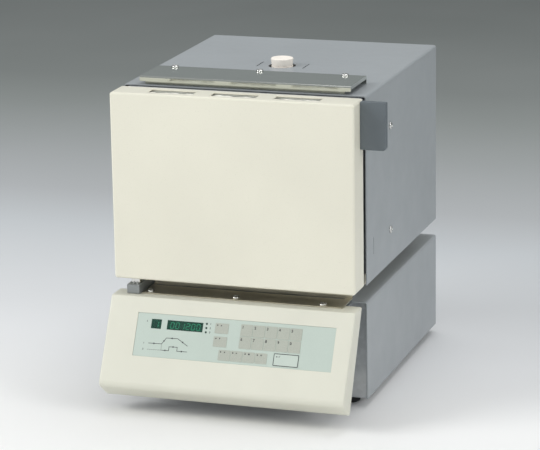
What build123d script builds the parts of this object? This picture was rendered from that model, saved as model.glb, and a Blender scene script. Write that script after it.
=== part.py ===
from build123d import *
import os
from math import cos, hypot, radians, sin

# Muffle furnace: a heated section with a side-hung door stands on a control section.
# Millimetres. +Z is up, the front faces -Y, and the origin lies on the floor under the middle of the body.

# Body
body_width = 270.0
body_depth = 288.0
sheet = 1.2
bend_radius = 2.5
sheet_gap = 0.3
flange = 12.0
foot_height = 9.5
foot_radius = 12.0
foot_taper = 1.5
foot_inset_x = 25.0
foot_inset_y = 20.0
lower_height = 108.0
deck_gap = 19.5
upper_height = 205.0
rear_recess = 4.0

# Screws, pins and fits
screw_radius = 2.0
screw_hole_play = 0.1
screw_head_radius = 4.0
screw_head_height = 2.4
pin_radius = 2.0
pin_play = 0.05

# Chamber and insulation
chamber_width = 110.0
chamber_height = 72.0
heater_length = 135.0
heater_thickness = 12.0
mouth_depth = 32.0
mouth_flare = 8.0
mouth_flare_depth = 14.0
side_insulation = 33.0
cover_insulation = 40.0
rear_insulation = 38.0
case_wall = 1.0
hearth_thickness = 5.0
hearth_play = 3.0
coil_radius = 2.5
coil_play = 0.3
coil_depth = 2.6
coil_end_margin = 6.0
side_coil_rows = (-24.0, -8.0, 8.0, 24.0)
top_coil_rows = (-40.0, -24.0, 24.0, 40.0)
link_radius = 1.0
lead_radius = 1.5
lead_play = 0.3
lead_reach = 14.0
sheath_radius = 3.0
sheath_reach = 20.0
sheath_above_centre = 15.5

# Chimney
chimney_y = -9.8
chimney_radius = 12.0
chimney_bore = 7.5
chimney_play = 0.3
cover_hole_radius = 15.25
plug_base_radius = 11.5
plug_top_radius = 12.5
plug_head_height = 9.0
plug_stem_length = 20.0
plug_play = 0.3
cover_slot_x = 26.7
cover_slot_length = 26.0
cover_slot_width = 1.6
cover_slot_offset = 2.4

# Hood over the front of the furnace cover
hood_height = 9.0
hood_half_width = 118.0
hood_sheet = 1.0
hood_bend = 1.6
hood_front = 2.5
hood_back = 62.0
hood_lip_gap = 0.6
hood_notch = (6.5, 2.8)
hood_screw_x = (-97.0, 0.0, 96.0)
hood_post_radius = 4.0
hood_post_inset = 6.0

# Furnace cover fixings
side_screw_y = -51.5
side_screw_heights = (37.5, 153.6)
side_slit = (26.0, 27.0, 19.0, 1.5)
pan_vent_x = (-70.0, 0.0, 70.0)
pan_vent_size = (50.5, 23.0)
pan_vent_front = 22.0

# Door
door_gap = 11.8
door_depth = 32.8
door_bottom_gap = 0.5
door_corner_radius = 3.0
door_face_radius = 2.4
door_vent_x = (-69.7, 0.0, 69.7)
door_vent_size = (51.0, 16.0)
door_vent_front = 8.6
door_flange = 8.0
board_thickness = 20.0
board_size = (200.0, 150.0)
plug_clearance = 4.0
plug_nose = 13.0
plug_nose_taper = 8.0
seal_border = 16.0
seal_gap = 0.4
handle_reach = 28.0
handle_thickness = 7.0
handle_height = 51.0
handle_drop = 1.0
handle_from_rear = 4.2
handle_corner_radius = 3.5
handle_edge_radius = 0.8

# Hinge
pivot_inset = 20.0
pivot_from_rear = 18.2
arm_half_width = 7.0
arm_thickness = 9.7
arm_front_reach = 12.5
arm_rear = 24.0
arm_bottom_gap = 3.2
pad_length = 23.5
collar_radius = 6.0
upper_arm_drop = 11.0
upper_arm_thickness = 4.0
upper_arm_half_width = 4.0
leaf_thickness = 2.0
leaf_size = (24.0, 18.0)
hinge_slot_play = 1.0
hinge_slot_front = 8.5
hinge_slot_right = 5.5
knuckle_gap = 0.3
knuckle_leg = 8.0
knuckle_reach_right = 17.0
knuckle_height = 13.3

# Catch
catch_size = (14.0, 9.9, 40.0)
catch_x = 112.0
strike_thickness = 1.5
strike_border = 1.0

# Between the two sections
spacer_radius = 9.0
spacer_x = 105.0
spacer_y = 108.0
conduit_y = 100.0
conduit_radius = 10.0
conduit_wall = 2.0
conduit_flange = (14.0, 1.5)
conduit_reach = 6.0

# Control panel
panel_half_width = 137.0
panel_wall = 2.5
panel_top = 120.4
panel_top_reach = 50.3
panel_top_depth = 25.4
panel_face_length = 99.6
panel_tilt = 28.1
panel_bottom_depth = 29.7
panel_bottom_slope = 37.1
panel_corner_radii = (2.0, 7.0, 2.0, 0.8)
panel_side_radius = 1.7
boss_radius = 4.0
boss_inset = 12.0
boss_down = (8.0, 88.0)
chassis_depth = 20.5
housing_half_width = 118.0
housing_bottom = 29.4
membrane_area = (-103.3, 118.6, 17.0, 64.5)
membrane_recess = 1.2
membrane_thickness = 0.8
key_height = 0.25
key_gap = 1.0
window_gap = 0.15
window_sunk = 0.5
small_window = (-87.0, -75.5, 23.0, 33.4)
large_window = (-69.0, -28.5, 23.0, 33.4)
lamp_x = -24.6
lamp_down = (23.7, 28.3, 32.9)
lamp_radius = 1.0
lamp_play = 0.2
pad_keys = (-14.5, 0.0, 22.2, 32.8, 14.4)
number_keys = (14.3, 21.3, 13.7, 13.4, 5, 2)
lower_keys = (-7.0, 50.6, 13.7, 12.0, 4, 1)
enter_key = (54.4, 81.8, 49.4, 62.4)
circuit_board = (-100.0, 20.0, 12.0, 60.0)
circuit_board_depth = 8.0
circuit_board_thickness = 1.6
digit_gap = 0.3
digit_border = 0.5
standoff_radius = 3.0
standoff_inset = 6.0

# Heat shelf on the control panel
shelf_left = -106.0
shelf_right = 119.0
shelf_reach = 38.7
shelf_sheet = 1.0
shelf_bend = 1.3
shelf_gap = 0.3
shelf_lip = 4.5
shelf_slot = (-103.0, 112.0, 1.6, 7.0)
shelf_screw_x = (-98.6, -1.4, 95.9)
shelf_screw_reach = 32.0

# Rear of the control section and what stands on its floor
inlet_x = -60.0
rocker_x = 0.0
fuse_x = 45.0
rear_parts_height = 48.0
inlet_body = (27.0, 20.0, 22.0)
inlet_flange = (50.0, 24.0, 2.5)
inlet_socket = (22.5, 15.5, 17.0)
blade = (2.0, 4.0, 14.0)
blade_pitch = 7.0
fuse_radius = 6.0
fuse_cap = (7.5, 4.0)
fuse_length = 28.0
rocker_width = 14.0
rocker_half_height = 10.4
rocker_tilt = 8.0
rocker_play = 0.3
rocker_trunnion = (1.5, 1.2)
rocker_pivot_depth = 1.6
switch_body = (19.0, 27.0, 24.0)
switch_flange = (22.0, 31.0, 1.8)
switch_cavity_depth = 9.0
transformer_place = (-60.0, 20.0)
transformer_core = (66.0, 40.0, 56.0)
transformer_leg = 18.0
transformer_yoke = 9.0
coil_wrap = 11.0
sink_place = (55.0, 30.0)
sink_size = (80.0, 60.0, 28.0)
sink_base = 6.0
fin_count = 9
fin_thickness = 2.0
relay_size = (45.0, 58.0, 25.0)
block_size = (16.0, 20.0, 64.0)
mains_block = (70.0, 20.0, 18.0)
mains_block_place = (40.0, 100.0)
floor_vent = (40.0, 5.0)
floor_vent_pitch = 12.0
floor_vent_rows = 4
harness_window = (120.0, 50.0)
louvre_length = 60.0
louvre_height = 7.0
louvre_depth = 2.8
louvre_pitch = 16.0
louvre_columns = (-60.0, 60.0)
louvre_rows = 7
louvre_wall = 0.9

# Levels and planes that follow from the sizes above
front_y = -body_depth / 2
rear_y = body_depth / 2
half_width = body_width / 2
case_bottom = foot_height
case_top = case_bottom + lower_height
pan_bottom = case_top + deck_gap
top_z = pan_bottom + upper_height
pan_half_width = half_width - sheet - sheet_gap
frame_half_width = pan_half_width - sheet - sheet_gap
frame_bottom = pan_bottom + sheet
frame_top = top_z - sheet - sheet_gap

chamber_z = pan_bottom + upper_height / 2
half_chamber = chamber_width / 2
chamber_floor = chamber_z - chamber_height / 2
chamber_ceiling = chamber_z + chamber_height / 2
heater_side = half_chamber + heater_thickness
heater_floor = chamber_floor - heater_thickness
heater_ceiling = chamber_ceiling + heater_thickness
block_side = heater_side + side_insulation
block_floor = heater_floor - cover_insulation
block_ceiling = heater_ceiling + cover_insulation
ring_front = front_y + sheet
heater_front = ring_front + mouth_depth
heater_rear = heater_front + heater_length
block_rear = heater_rear + rear_insulation
case_rear = block_rear + case_wall

door_rear = front_y - door_gap
door_front = door_rear - door_depth
door_bottom = pan_bottom + door_bottom_gap
pan_face = door_rear - sheet
pivot_x = -half_width + pivot_inset
pivot_y = door_rear - pivot_from_rear
arm_bottom = case_top + arm_bottom_gap
arm_top = arm_bottom + arm_thickness
upper_arm_top = top_z - upper_arm_drop
upper_arm_bottom = upper_arm_top - upper_arm_thickness
plug_half_width = half_chamber + mouth_flare - plug_clearance
plug_half_height = chamber_height / 2 + mouth_flare - plug_clearance

tilt_sin = sin(radians(panel_tilt))
tilt_cos = cos(radians(panel_tilt))
panel_a = (front_y - panel_top_reach, panel_top)
panel_b = (panel_a[0] - panel_face_length * tilt_sin, panel_top - panel_face_length * tilt_cos)
panel_c = (panel_b[0] + panel_bottom_depth * cos(radians(panel_bottom_slope)),
           panel_b[1] - panel_bottom_depth * sin(radians(panel_bottom_slope)))
panel_d = (panel_a[0] + panel_top_depth, panel_top)
panel_face = Plane(origin=(0, panel_a[0], panel_a[1]), x_dir=(1, 0, 0), z_dir=(0, -tilt_cos, tilt_sin))
rear_panel_back = rear_y - rear_recess
case_floor = case_bottom + sheet
rear_parts_z = case_bottom + rear_parts_height


# Helpers
def block(x0, x1, y0, y1, z0, z1):
    """Box between two opposite corners."""
    return Pos((x0 + x1) / 2, (y0 + y1) / 2, (z0 + z1) / 2) * Box(x1 - x0, y1 - y0, z1 - z0)


def rod_x(radius, y, z, x0, x1):
    return Pos((x0 + x1) / 2, y, z) * Rot(0, 90, 0) * Cylinder(radius, x1 - x0)


def rod_y(radius, x, z, y0, y1):
    return Pos(x, (y0 + y1) / 2, z) * Rot(90, 0, 0) * Cylinder(radius, y1 - y0)


def rod_z(radius, x, y, z0, z1):
    return Pos(x, y, (z0 + z1) / 2) * Cylinder(radius, z1 - z0)


def along_x(section, x0, x1):
    """Solid from a section drawn in Y and Z."""
    return extrude(Plane.YZ.offset(x0) * section, amount=x1 - x0, dir=(1, 0, 0))


def along_y(section, y0, y1):
    """Solid from a section drawn in X and Z."""
    return extrude(Plane.XZ.offset(-y0) * section, amount=y1 - y0, dir=(0, 1, 0))


def along_z(section, z0, z1):
    """Solid from a section drawn in X and Y."""
    return extrude(Plane.XY.offset(z0) * section, amount=z1 - z0, dir=(0, 0, 1))


def bent_strip(points, thickness, radius, side=Side.LEFT):
    """Section of a sheet that is bent along a line; the sheet lies on one side of that line."""
    return make_face(offset(FilletPolyline(*points, radius=radius), thickness, side=side))


def outline(points, radii):
    """Closed section with a rounding at each corner."""
    return make_face(FilletPolyline(*points, radius=radii, close=True))


def rounded_block(x0, x1, y0, y1, z0, z1, face_radius, corner_radius, face=0):
    """Box rounded round the face at y0, or at y1 where face is -1, and along the edges that run in Y."""
    body = block(x0, x1, y0, y1, z0, z1)
    body = fillet(body.edges().filter_by(Axis.Y), corner_radius)
    return fillet(body.edges().group_by(Axis.Y)[face], face_radius)


def tray(x0, x1, y0, y1, z0, z1, wall, face_radius, corner_radius, face=0):
    """Pressed tray: its face lies at y0 and its flanges end at y1, or the other way round."""
    outer = rounded_block(x0, x1, y0, y1, z0, z1, face_radius, corner_radius, face)
    inner_y0 = y0 + wall if face == 0 else y0 - wall
    inner_y1 = y1 + wall if face == 0 else y1 - wall
    inner = rounded_block(x0 + wall, x1 - wall, inner_y0, inner_y1, z0 + wall, z1 - wall,
                          max(face_radius - wall, 0.3), max(corner_radius - wall, 0.3), face)
    return outer - inner


def inset_polygon(points, insets):
    """Corners of an anticlockwise outline after side i has moved inwards by insets[i]."""
    sides = []
    for i, (a, b) in enumerate(zip(points, points[1:] + points[:1])):
        length = hypot(b[0] - a[0], b[1] - a[1])
        along = ((b[0] - a[0]) / length, (b[1] - a[1]) / length)
        sides.append(((a[0] - along[1] * insets[i], a[1] + along[0] * insets[i]), along))
    corners = []
    for (p, d), (q, e) in zip(sides[-1:] + sides[:-1], sides):
        t = ((q[0] - p[0]) * e[1] - (q[1] - p[1]) * e[0]) / (d[0] * e[1] - d[1] * e[0])
        corners.append((p[0] + d[0] * t, p[1] + d[1] * t))
    return corners


def on_panel(x0, x1, down0, down1, depth0, depth1):
    """Box in the tilted face of the panel: down from its top edge, and depth inwards from its face."""
    return panel_face.location * block(x0, x1, -down1, -down0, -depth1, -depth0)


def panel_rod(radius, x, down, depth0, depth1):
    return panel_face.location * rod_z(radius, x, -down, -depth1, -depth0)


def mirrored(shape):
    """The shape with its copy on the other side of the middle."""
    return Part() + [shape, mirror(shape, about=Plane.YZ)]


def pan_head_screw(length):
    """Screw with its head's seat at the origin and its shank along -Z."""
    section = outline([(0, -length), (screw_radius, -length), (screw_radius, 0), (screw_head_radius, 0),
                       (screw_head_radius, screw_head_height), (0, screw_head_height)],
                      [0, 0, 0, 0, 1.5, 0])
    return revolve(Plane.XZ * section, Axis.Z)


screw_hole = screw_radius + screw_hole_play


# Furnace section: sheet metal
def furnace_cover():
    """Sheet folded over the top and both sides, open at the front and the back."""
    section = bent_strip([(-half_width, pan_bottom), (-half_width, top_z), (half_width, top_z),
                          (half_width, pan_bottom)], sheet, bend_radius, Side.RIGHT)
    cover = along_y(section, front_y, rear_y)
    cover -= rod_z(cover_hole_radius, 0, chimney_y, top_z - 2 * sheet, top_z + sheet)
    slot_y = chimney_y + cover_slot_offset
    for x in (-cover_slot_x, cover_slot_x):
        cover -= block(x - cover_slot_width / 2, x + cover_slot_width / 2, slot_y - cover_slot_length / 2,
                       slot_y + cover_slot_length / 2, top_z - 2 * sheet, top_z + sheet)
    for z in side_screw_heights:
        cover -= rod_x(screw_hole, side_screw_y, pan_bottom + z, -half_width - sheet, half_width + sheet)
    back, up, height, width = side_slit
    return cover - block(half_width - 2 * sheet, half_width + sheet, front_y + back, front_y + back + width,
                         pan_bottom + up, pan_bottom + up + height)


def base_pan():
    """Floor of the furnace section, folded up at both sides, with three vents behind the shelf."""
    section = bent_strip([(-pan_half_width, pan_bottom + flange), (-pan_half_width, pan_bottom),
                          (pan_half_width, pan_bottom), (pan_half_width, pan_bottom + flange)],
                         sheet, bend_radius)
    pan = along_y(section, front_y, rear_y)
    vent_y = front_y + pan_vent_front
    for x in pan_vent_x:
        pan -= block(x - pan_vent_size[0] / 2, x + pan_vent_size[0] / 2, vent_y, vent_y + pan_vent_size[1],
                     pan_bottom - sheet, pan_bottom + 2 * sheet)
    return pan - rod_z(conduit_radius + sheet_gap, 0, conduit_y, pan_bottom - sheet, pan_bottom + 2 * sheet)


def front_frame():
    """Tray behind the door with the chamber's mouth cut out."""
    frame = tray(-frame_half_width, frame_half_width, front_y, front_y + flange, frame_bottom, frame_top,
                 sheet, bend_radius, bend_radius + 0.5)
    mouth_x = half_chamber + mouth_flare
    mouth_z = chamber_height / 2 + mouth_flare
    return frame - block(-mouth_x, mouth_x, front_y - sheet, front_y + 2 * sheet,
                         chamber_z - mouth_z, chamber_z + mouth_z)


def louvre(x, z, plate_back):
    """Pressed hood of one louvre, and the opening that it covers."""
    plate_front = plate_back - sheet
    lip = plate_back + louvre_depth
    half = louvre_length / 2
    hood_section = outline([(plate_back, z), (lip, z), (plate_back, z + louvre_height)], [0, 0, 0])
    hole_section = outline([(plate_front - sheet, z - sheet), (lip - louvre_wall, z - sheet),
                            (lip - louvre_wall, z), (plate_back - louvre_wall, z + louvre_height),
                            (plate_front - sheet, z + louvre_height)], [0, 0, 0, 0, 0])
    hole = along_x(hole_section, x - half + louvre_wall, x + half - louvre_wall)
    return along_x(hood_section, x - half, x + half), hole - block(x - half, x + half, plate_front - 2 * sheet,
                                                                   plate_back, z - 2 * sheet, z)


def rear_cover():
    """Tray that closes the back, with two columns of louvres."""
    back = rear_y - rear_recess
    cover = tray(-frame_half_width, frame_half_width, back - flange, back, frame_bottom, frame_top,
                 sheet, bend_radius, bend_radius + 0.5, face=-1)
    lowest = chamber_z - louvre_pitch * (louvre_rows - 1) / 2
    hoods, holes = [], []
    for x in louvre_columns:
        for row in range(louvre_rows):
            hood_piece, hole = louvre(x, lowest + row * louvre_pitch, back)
            hoods.append(hood_piece)
            holes.append(hole)
    return (cover + hoods) - holes


def hood():
    """Polished sheet over the front of the cover, folded down to a lip in front and a flange behind."""
    section = bent_strip([(front_y + hood_front, top_z + hood_lip_gap), (front_y + hood_front, top_z + hood_height),
                          (front_y + hood_back, top_z + hood_height), (front_y + hood_back, top_z)],
                         hood_sheet, hood_bend, Side.RIGHT)
    sheet_piece = along_x(section, -hood_half_width, hood_half_width)
    notch_width, notch_height = hood_notch
    notch = block(hood_half_width - notch_width, hood_half_width + 1, front_y + hood_front - 1,
                  front_y + hood_front + 2 * hood_sheet, top_z, top_z + hood_lip_gap + notch_height)
    sheet_piece -= mirrored(notch)
    for x in hood_screw_x:
        sheet_piece -= rod_z(screw_hole, x, hood_post_y, top_z, top_z + hood_height + hood_sheet)
    return sheet_piece


hood_post_y = front_y + hood_back - hood_post_inset


def hood_posts():
    """Spacers that carry the hood on the cover."""
    posts = []
    for x in hood_screw_x:
        post = rod_z(hood_post_radius, x, hood_post_y, top_z, top_z + hood_height - hood_sheet)
        posts.append(post - rod_z(screw_hole, x, hood_post_y, top_z - 1, top_z + hood_height))
    return Part() + posts


def pan_head_screws():
    """All pan-head screws in sight: three in the hood, three in the shelf, two in each side."""
    screws = [Pos(x, hood_post_y, top_z + hood_height) * pan_head_screw(hood_height - hood_sheet)
              for x in hood_screw_x]
    screws += [Pos(x, front_y - shelf_screw_reach, shelf_top) * pan_head_screw(shelf_screw_length)
               for x in shelf_screw_x]
    for z in side_screw_heights:
        screw = Pos(half_width, side_screw_y, pan_bottom + z) * Rot(0, 90, 0) * pan_head_screw(flange / 2)
        screws += [screw, mirror(screw, about=Plane.YZ)]
    return Part() + screws


def side_brackets():
    """Folded straps between the inner case and both sides of the cover."""
    inside = block_side + case_wall
    outside = pan_half_width - sheet
    section = bent_strip([(inside, side_screw_y - 22), (inside, side_screw_y - 8), (outside, side_screw_y - 8),
                          (outside, side_screw_y + 8)], sheet, bend_radius, Side.RIGHT)
    straps = []
    for z in side_screw_heights:
        middle = pan_bottom + z
        strap = along_z(section, middle - 10, middle + 10)
        straps.append(strap - rod_x(screw_hole, side_screw_y, middle, inside + sheet * 2, half_width))
    return mirrored(Part() + straps)


# Furnace section: chamber
def inner_case():
    """Sheet box round the insulation, open at the front."""
    case = block(-block_side - case_wall, block_side + case_wall, ring_front, case_rear,
                 block_floor - case_wall, block_ceiling + case_wall)
    case -= block(-block_side, block_side, ring_front - 1, block_rear, block_floor, block_ceiling)
    case -= rod_z(chimney_radius + chimney_play, 0, chimney_y, block_ceiling - 1, block_ceiling + 2)
    case -= rod_y(sheath_radius + sheet_gap, 0, chamber_z + sheath_above_centre, block_rear - 1, case_rear + 1)
    return case - lead_holes(block_rear - 1, case_rear + 1)


def case_stands():
    """Two hat rails under the inner case."""
    foot, half, bottom = 24.0, 12.0, frame_bottom
    top = block_floor - case_wall - sheet
    section = bent_strip([(-foot, bottom), (-half, bottom), (-half, top), (half, top), (half, bottom),
                          (foot, bottom)], sheet, bend_radius)
    rail = along_y(section, heater_front + flange, case_rear - flange)
    return Part() + [Pos(x, 0, 0) * rail for x in (-block_side * 0.75, block_side * 0.75)]


def front_ring():
    """Fibre ring between the front frame and the heater plates, flared towards the door."""
    ring = block(-block_side, block_side, ring_front, heater_front, block_floor, block_ceiling)
    ring -= block(-half_chamber, half_chamber, ring_front - 1, heater_front + 1, chamber_floor, chamber_ceiling)
    wide = Rectangle(chamber_width + 2 * mouth_flare, chamber_height + 2 * mouth_flare)
    narrow = Rectangle(chamber_width, chamber_height)
    flare = loft([Plane.XZ.offset(-ring_front) * Pos(0, chamber_z) * wide,
                  Plane.XZ.offset(-ring_front - mouth_flare_depth) * Pos(0, chamber_z) * narrow])
    return ring - flare


def insulation_sides():
    return mirrored(block(heater_side, block_side, heater_front, heater_rear, heater_floor, heater_ceiling))


def insulation_top():
    board = block(-block_side, block_side, heater_front, heater_rear, heater_ceiling, block_ceiling)
    return board - rod_z(chimney_radius + chimney_play, 0, chimney_y, heater_ceiling - 1, block_ceiling + 1)


def insulation_bottom():
    return block(-block_side, block_side, heater_front, heater_rear, block_floor, heater_floor)


def insulation_rear():
    board = block(-block_side, block_side, heater_rear, block_rear, block_floor, block_ceiling)
    board -= rod_y(sheath_radius + sheet_gap, 0, chamber_z + sheath_above_centre, heater_rear - 1, block_rear + 1)
    return board - lead_holes(heater_rear - 1, block_rear + 1)


coil_front = heater_front + coil_end_margin
coil_rear = heater_rear - coil_end_margin


def link_places(rows):
    """Straight links between neighbouring runs, at the front and the rear in turn."""
    ends = (coil_front + coil_radius, coil_rear - coil_radius)
    return [(a, b, ends[i % 2]) for i, (a, b) in enumerate(zip(rows, rows[1:]))]


def heating_coil(rows):
    """One element in a ceiling plate whose face lies at z = 0; its runs lie side by side in X."""
    pieces = [rod_y(coil_radius, x, coil_depth, coil_front, coil_rear) for x in rows]
    pieces += [rod_x(link_radius, y, coil_depth, a, b) for a, b, y in link_places(rows)]
    pieces += [rod_y(lead_radius, x, coil_depth, coil_rear - 1, case_rear + lead_reach)
               for x in (rows[0], rows[-1])]
    return pieces[0] + pieces[1:]


def coil_groove(rows):
    """What the element above takes out of its plate."""
    wide = coil_radius + coil_play
    narrow = link_radius + coil_play
    pieces = [rod_y(wide, x, coil_depth, coil_front - coil_play, coil_rear + coil_play) for x in rows]
    pieces += [block(a, b, y - narrow, y + narrow, -1, coil_depth + narrow) for a, b, y in link_places(rows)]
    pieces += [rod_y(lead_radius + lead_play, x, coil_depth, coil_rear, heater_rear + 1)
               for x in (rows[0], rows[-1])]
    return pieces


def on_side(shape):
    """Turns something made for the ceiling onto the right wall."""
    return Pos(half_chamber, 0, chamber_z) * Rot(0, 90, 0) * shape


def on_ceiling(shape):
    return Pos(0, 0, chamber_ceiling) * shape


def lead_holes(y0, y1):
    radius = lead_radius + lead_play
    side = [on_side(rod_y(radius, x, coil_depth, y0, y1)) for x in (side_coil_rows[0], side_coil_rows[-1])]
    top = [on_ceiling(rod_y(radius, x, coil_depth, y0, y1)) for x in (top_coil_rows[0], top_coil_rows[-1])]
    return side + [mirror(hole, about=Plane.YZ) for hole in side] + top


def heater_plates_side():
    plate = block(half_chamber, heater_side, heater_front, heater_rear, heater_floor, heater_ceiling)
    return mirrored(plate - [on_side(piece) for piece in coil_groove(side_coil_rows)])


def heater_plate_top():
    plate = block(-half_chamber, half_chamber, heater_front, heater_rear, chamber_ceiling, heater_ceiling)
    plate -= [on_ceiling(piece) for piece in coil_groove(top_coil_rows)]
    return plate - rod_z(chimney_radius + chimney_play, 0, chimney_y, chamber_ceiling - 1, heater_ceiling + 1)


def heater_plate_bottom():
    return block(-half_chamber, half_chamber, heater_front, heater_rear, heater_floor, chamber_floor)


def heating_elements():
    side = on_side(heating_coil(side_coil_rows))
    return Part() + [side, mirror(side, about=Plane.YZ), on_ceiling(heating_coil(top_coil_rows))]


def hearth_plate():
    """Loose plate on the chamber's floor, with rounded front corners."""
    half = half_chamber - hearth_play
    front = ring_front + mouth_flare_depth + hearth_play
    plate = block(-half, half, front, heater_rear - hearth_play, chamber_floor, chamber_floor + hearth_thickness)
    return fillet(plate.edges().filter_by(Axis.Z).group_by(Axis.Y)[0], hearth_thickness)


def thermocouple():
    """Sheath through the rear board, with its head and flange on the inner case."""
    z = chamber_z + sheath_above_centre
    head_radius, head_length, plate_radius, plate_thickness = 9.0, 16.0, 13.0, 2.5
    sheath = rod_y(sheath_radius, 0, z, heater_rear - sheath_reach, case_rear + plate_thickness)
    sheath = fillet(sheath.edges().group_by(Axis.Y)[0], sheath_radius * 0.8)
    plate = rod_y(plate_radius, 0, z, case_rear, case_rear + plate_thickness)
    head = rod_y(head_radius, 0, z, case_rear + plate_thickness, case_rear + plate_thickness + head_length)
    return sheath + plate + head


def terminal_blocks():
    """Ceramic blocks that take the element leads, and the mains block on the control section's floor."""
    width, depth, height = block_size
    radius = lead_radius + lead_play
    x = half_chamber + coil_depth
    z = chamber_ceiling + coil_depth
    side = block(x - width / 2, x + width / 2, case_rear, case_rear + depth, chamber_z - height / 2,
                 chamber_z + height / 2)
    top_half = top_coil_rows[-1] + width / 2
    top = block(-top_half, top_half, case_rear, case_rear + depth, z - width / 2, z + width / 2)
    holes = [rod_y(radius, x, chamber_z + row, case_rear - 1, case_rear + lead_reach + 1)
             for row in (side_coil_rows[0], side_coil_rows[-1])]
    top_holes = [rod_y(radius, row, z, case_rear - 1, case_rear + lead_reach + 1)
                 for row in (top_coil_rows[0], top_coil_rows[-1])]
    long, deep, tall = mains_block
    mains_x, mains_y = mains_block_place
    mains = block(mains_x - long / 2, mains_x + long / 2, mains_y - deep / 2, mains_y + deep / 2,
                  case_floor, case_floor + tall)
    step = long / 5
    for i in range(5):
        mains -= rod_z(step * 0.3, mains_x - long / 2 + step * (i + 0.5), mains_y, case_floor + tall / 2,
                       case_floor + tall + 1)
    return mirrored(side - holes) + (top - top_holes) + mains


def chimney_tube():
    """Ceramic tube from the ceiling plate to the hole in the cover, with a collar on the inner case."""
    collar_radius_outer, collar_height = 17.0, 3.0
    section = outline([(chimney_bore, chamber_ceiling), (chimney_radius, chamber_ceiling),
                       (chimney_radius, block_ceiling + case_wall), (collar_radius_outer, block_ceiling + case_wall),
                       (collar_radius_outer, block_ceiling + case_wall + collar_height),
                       (chimney_radius, block_ceiling + case_wall + collar_height),
                       (chimney_radius, top_z), (chimney_bore, top_z)], [0] * 8)
    return Pos(0, chimney_y, 0) * revolve(Plane.XZ * section, Axis.Z)


def chimney_plug():
    """Stopper whose head flares upwards and sits on the tube's end."""
    stem = chimney_bore - plug_play
    section = outline([(0, top_z - plug_stem_length), (stem, top_z - plug_stem_length), (stem, top_z),
                       (plug_base_radius, top_z), (plug_top_radius, top_z + plug_head_height),
                       (0, top_z + plug_head_height)], [0, 0.8, 0, 0, 1.2, 0])
    return Pos(0, chimney_y, 0) * revolve(Plane.XZ * section, Axis.Z)


# Door
def hinge_slot():
    """Room that the upper arm sweeps through the door's rear and left walls."""
    return block(-half_width - 1, pivot_x + hinge_slot_right, pivot_y - hinge_slot_front, door_rear + 1,
                 upper_arm_bottom - hinge_slot_play, upper_arm_top + hinge_slot_play)


def vent_cuts(z0, z1):
    width, depth = door_vent_size
    y = door_front + door_vent_front
    return [block(x - width / 2, x + width / 2, y, y + depth, z0, z1) for x in door_vent_x]


def door_shell():
    """Pressed outer tray of the door, with three vents in its top and three in its bottom."""
    shell = tray(-half_width, half_width, door_front, door_rear, door_bottom, top_z, sheet,
                 door_face_radius, door_corner_radius)
    shell -= vent_cuts(top_z - 2 * sheet, top_z + 1) + vent_cuts(door_bottom - 1, door_bottom + 2 * sheet)
    shell -= rod_z(pin_radius + sheet, pivot_x, pivot_y, door_bottom - 1, door_bottom + 2 * sheet)
    return shell - hinge_slot()


def door_pan():
    """Inner tray of the door, with an opening for the insulating plug."""
    inset = sheet + sheet_gap
    pan = tray(-half_width + inset, half_width - inset, door_rear - sheet - door_flange, door_rear,
               door_bottom + inset, top_z - inset, sheet, door_corner_radius - sheet, door_corner_radius, face=-1)
    window_x = plug_half_width + sheet_gap
    window_z = plug_half_height + sheet_gap
    pan -= block(-window_x, window_x, pan_face - 1, door_rear + 1, chamber_z - window_z, chamber_z + window_z)
    return pan - hinge_slot()


def door_insulation():
    """Fibre board inside the door, behind which the plug is built on."""
    width, height = board_size
    return block(-width / 2, width / 2, pan_face - board_thickness, pan_face, chamber_z - height / 2,
                 chamber_z + height / 2)


def door_plug():
    """Insulating plug: a straight root through the pan and a tapered nose that enters the mouth."""
    nose_start = front_y - seal_gap
    root = block(-plug_half_width, plug_half_width, pan_face, nose_start,
                 chamber_z - plug_half_height, chamber_z + plug_half_height)
    wide = Rectangle(2 * plug_half_width, 2 * plug_half_height)
    narrow = Rectangle(2 * (plug_half_width - plug_nose_taper), 2 * (plug_half_height - plug_nose_taper))
    nose = loft([Plane.XZ.offset(-nose_start) * Pos(0, chamber_z) * wide,
                 Plane.XZ.offset(-nose_start - plug_nose) * Pos(0, chamber_z) * narrow])
    return root + nose


def door_seal():
    """Soft ring round the plug that closes on the front frame."""
    inner_x = plug_half_width + sheet_gap
    inner_z = plug_half_height + sheet_gap
    seal = rounded_block(-inner_x - seal_border, inner_x + seal_border, door_rear, front_y - seal_gap,
                         chamber_z - inner_z - seal_border, chamber_z + inner_z + seal_border, 1.5, 6.0, face=-1)
    return seal - block(-inner_x, inner_x, door_rear - 1, front_y + 1, chamber_z - inner_z, chamber_z + inner_z)


def handle():
    """Flat grip that stands out from the door's right side."""
    top = top_z - handle_drop
    back = door_rear - handle_from_rear
    corner = handle_corner_radius
    section = outline([(half_width, top - handle_height), (half_width + handle_reach, top - handle_height),
                       (half_width + handle_reach, top), (half_width, top)],
                      [corner / 3, corner, corner / 3, corner / 3])
    plate = along_y(section, back - handle_thickness, back)
    return fillet(plate.edges().group_by(Axis.Y)[0], handle_edge_radius)


def knuckle(z0, z1):
    """Hinge block inside the door, round the pivot, clear of the door's rounded corners and of its pan."""
    return block(-half_width + door_corner_radius + sheet_gap, pivot_x + knuckle_reach_right,
                 door_front + door_face_radius + sheet_gap, pan_face - door_flange - sheet_gap, z0,
                 z1) - rod_z(pin_radius + pin_play, pivot_x, pivot_y, z0 - 1, z1 + 1)


def upper_hinge_block():
    """U-shaped block: one leg above the arm, one below, joined at the right of the pivot."""
    low = upper_arm_bottom - knuckle_gap
    high = upper_arm_top + knuckle_gap
    body = knuckle(low - knuckle_leg, top_z - sheet)
    return body - block(-half_width, pivot_x + hinge_slot_right, door_front, door_rear, low, high)


def lower_hinge_block():
    return knuckle(door_bottom + sheet, door_bottom + sheet + knuckle_height)


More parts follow.
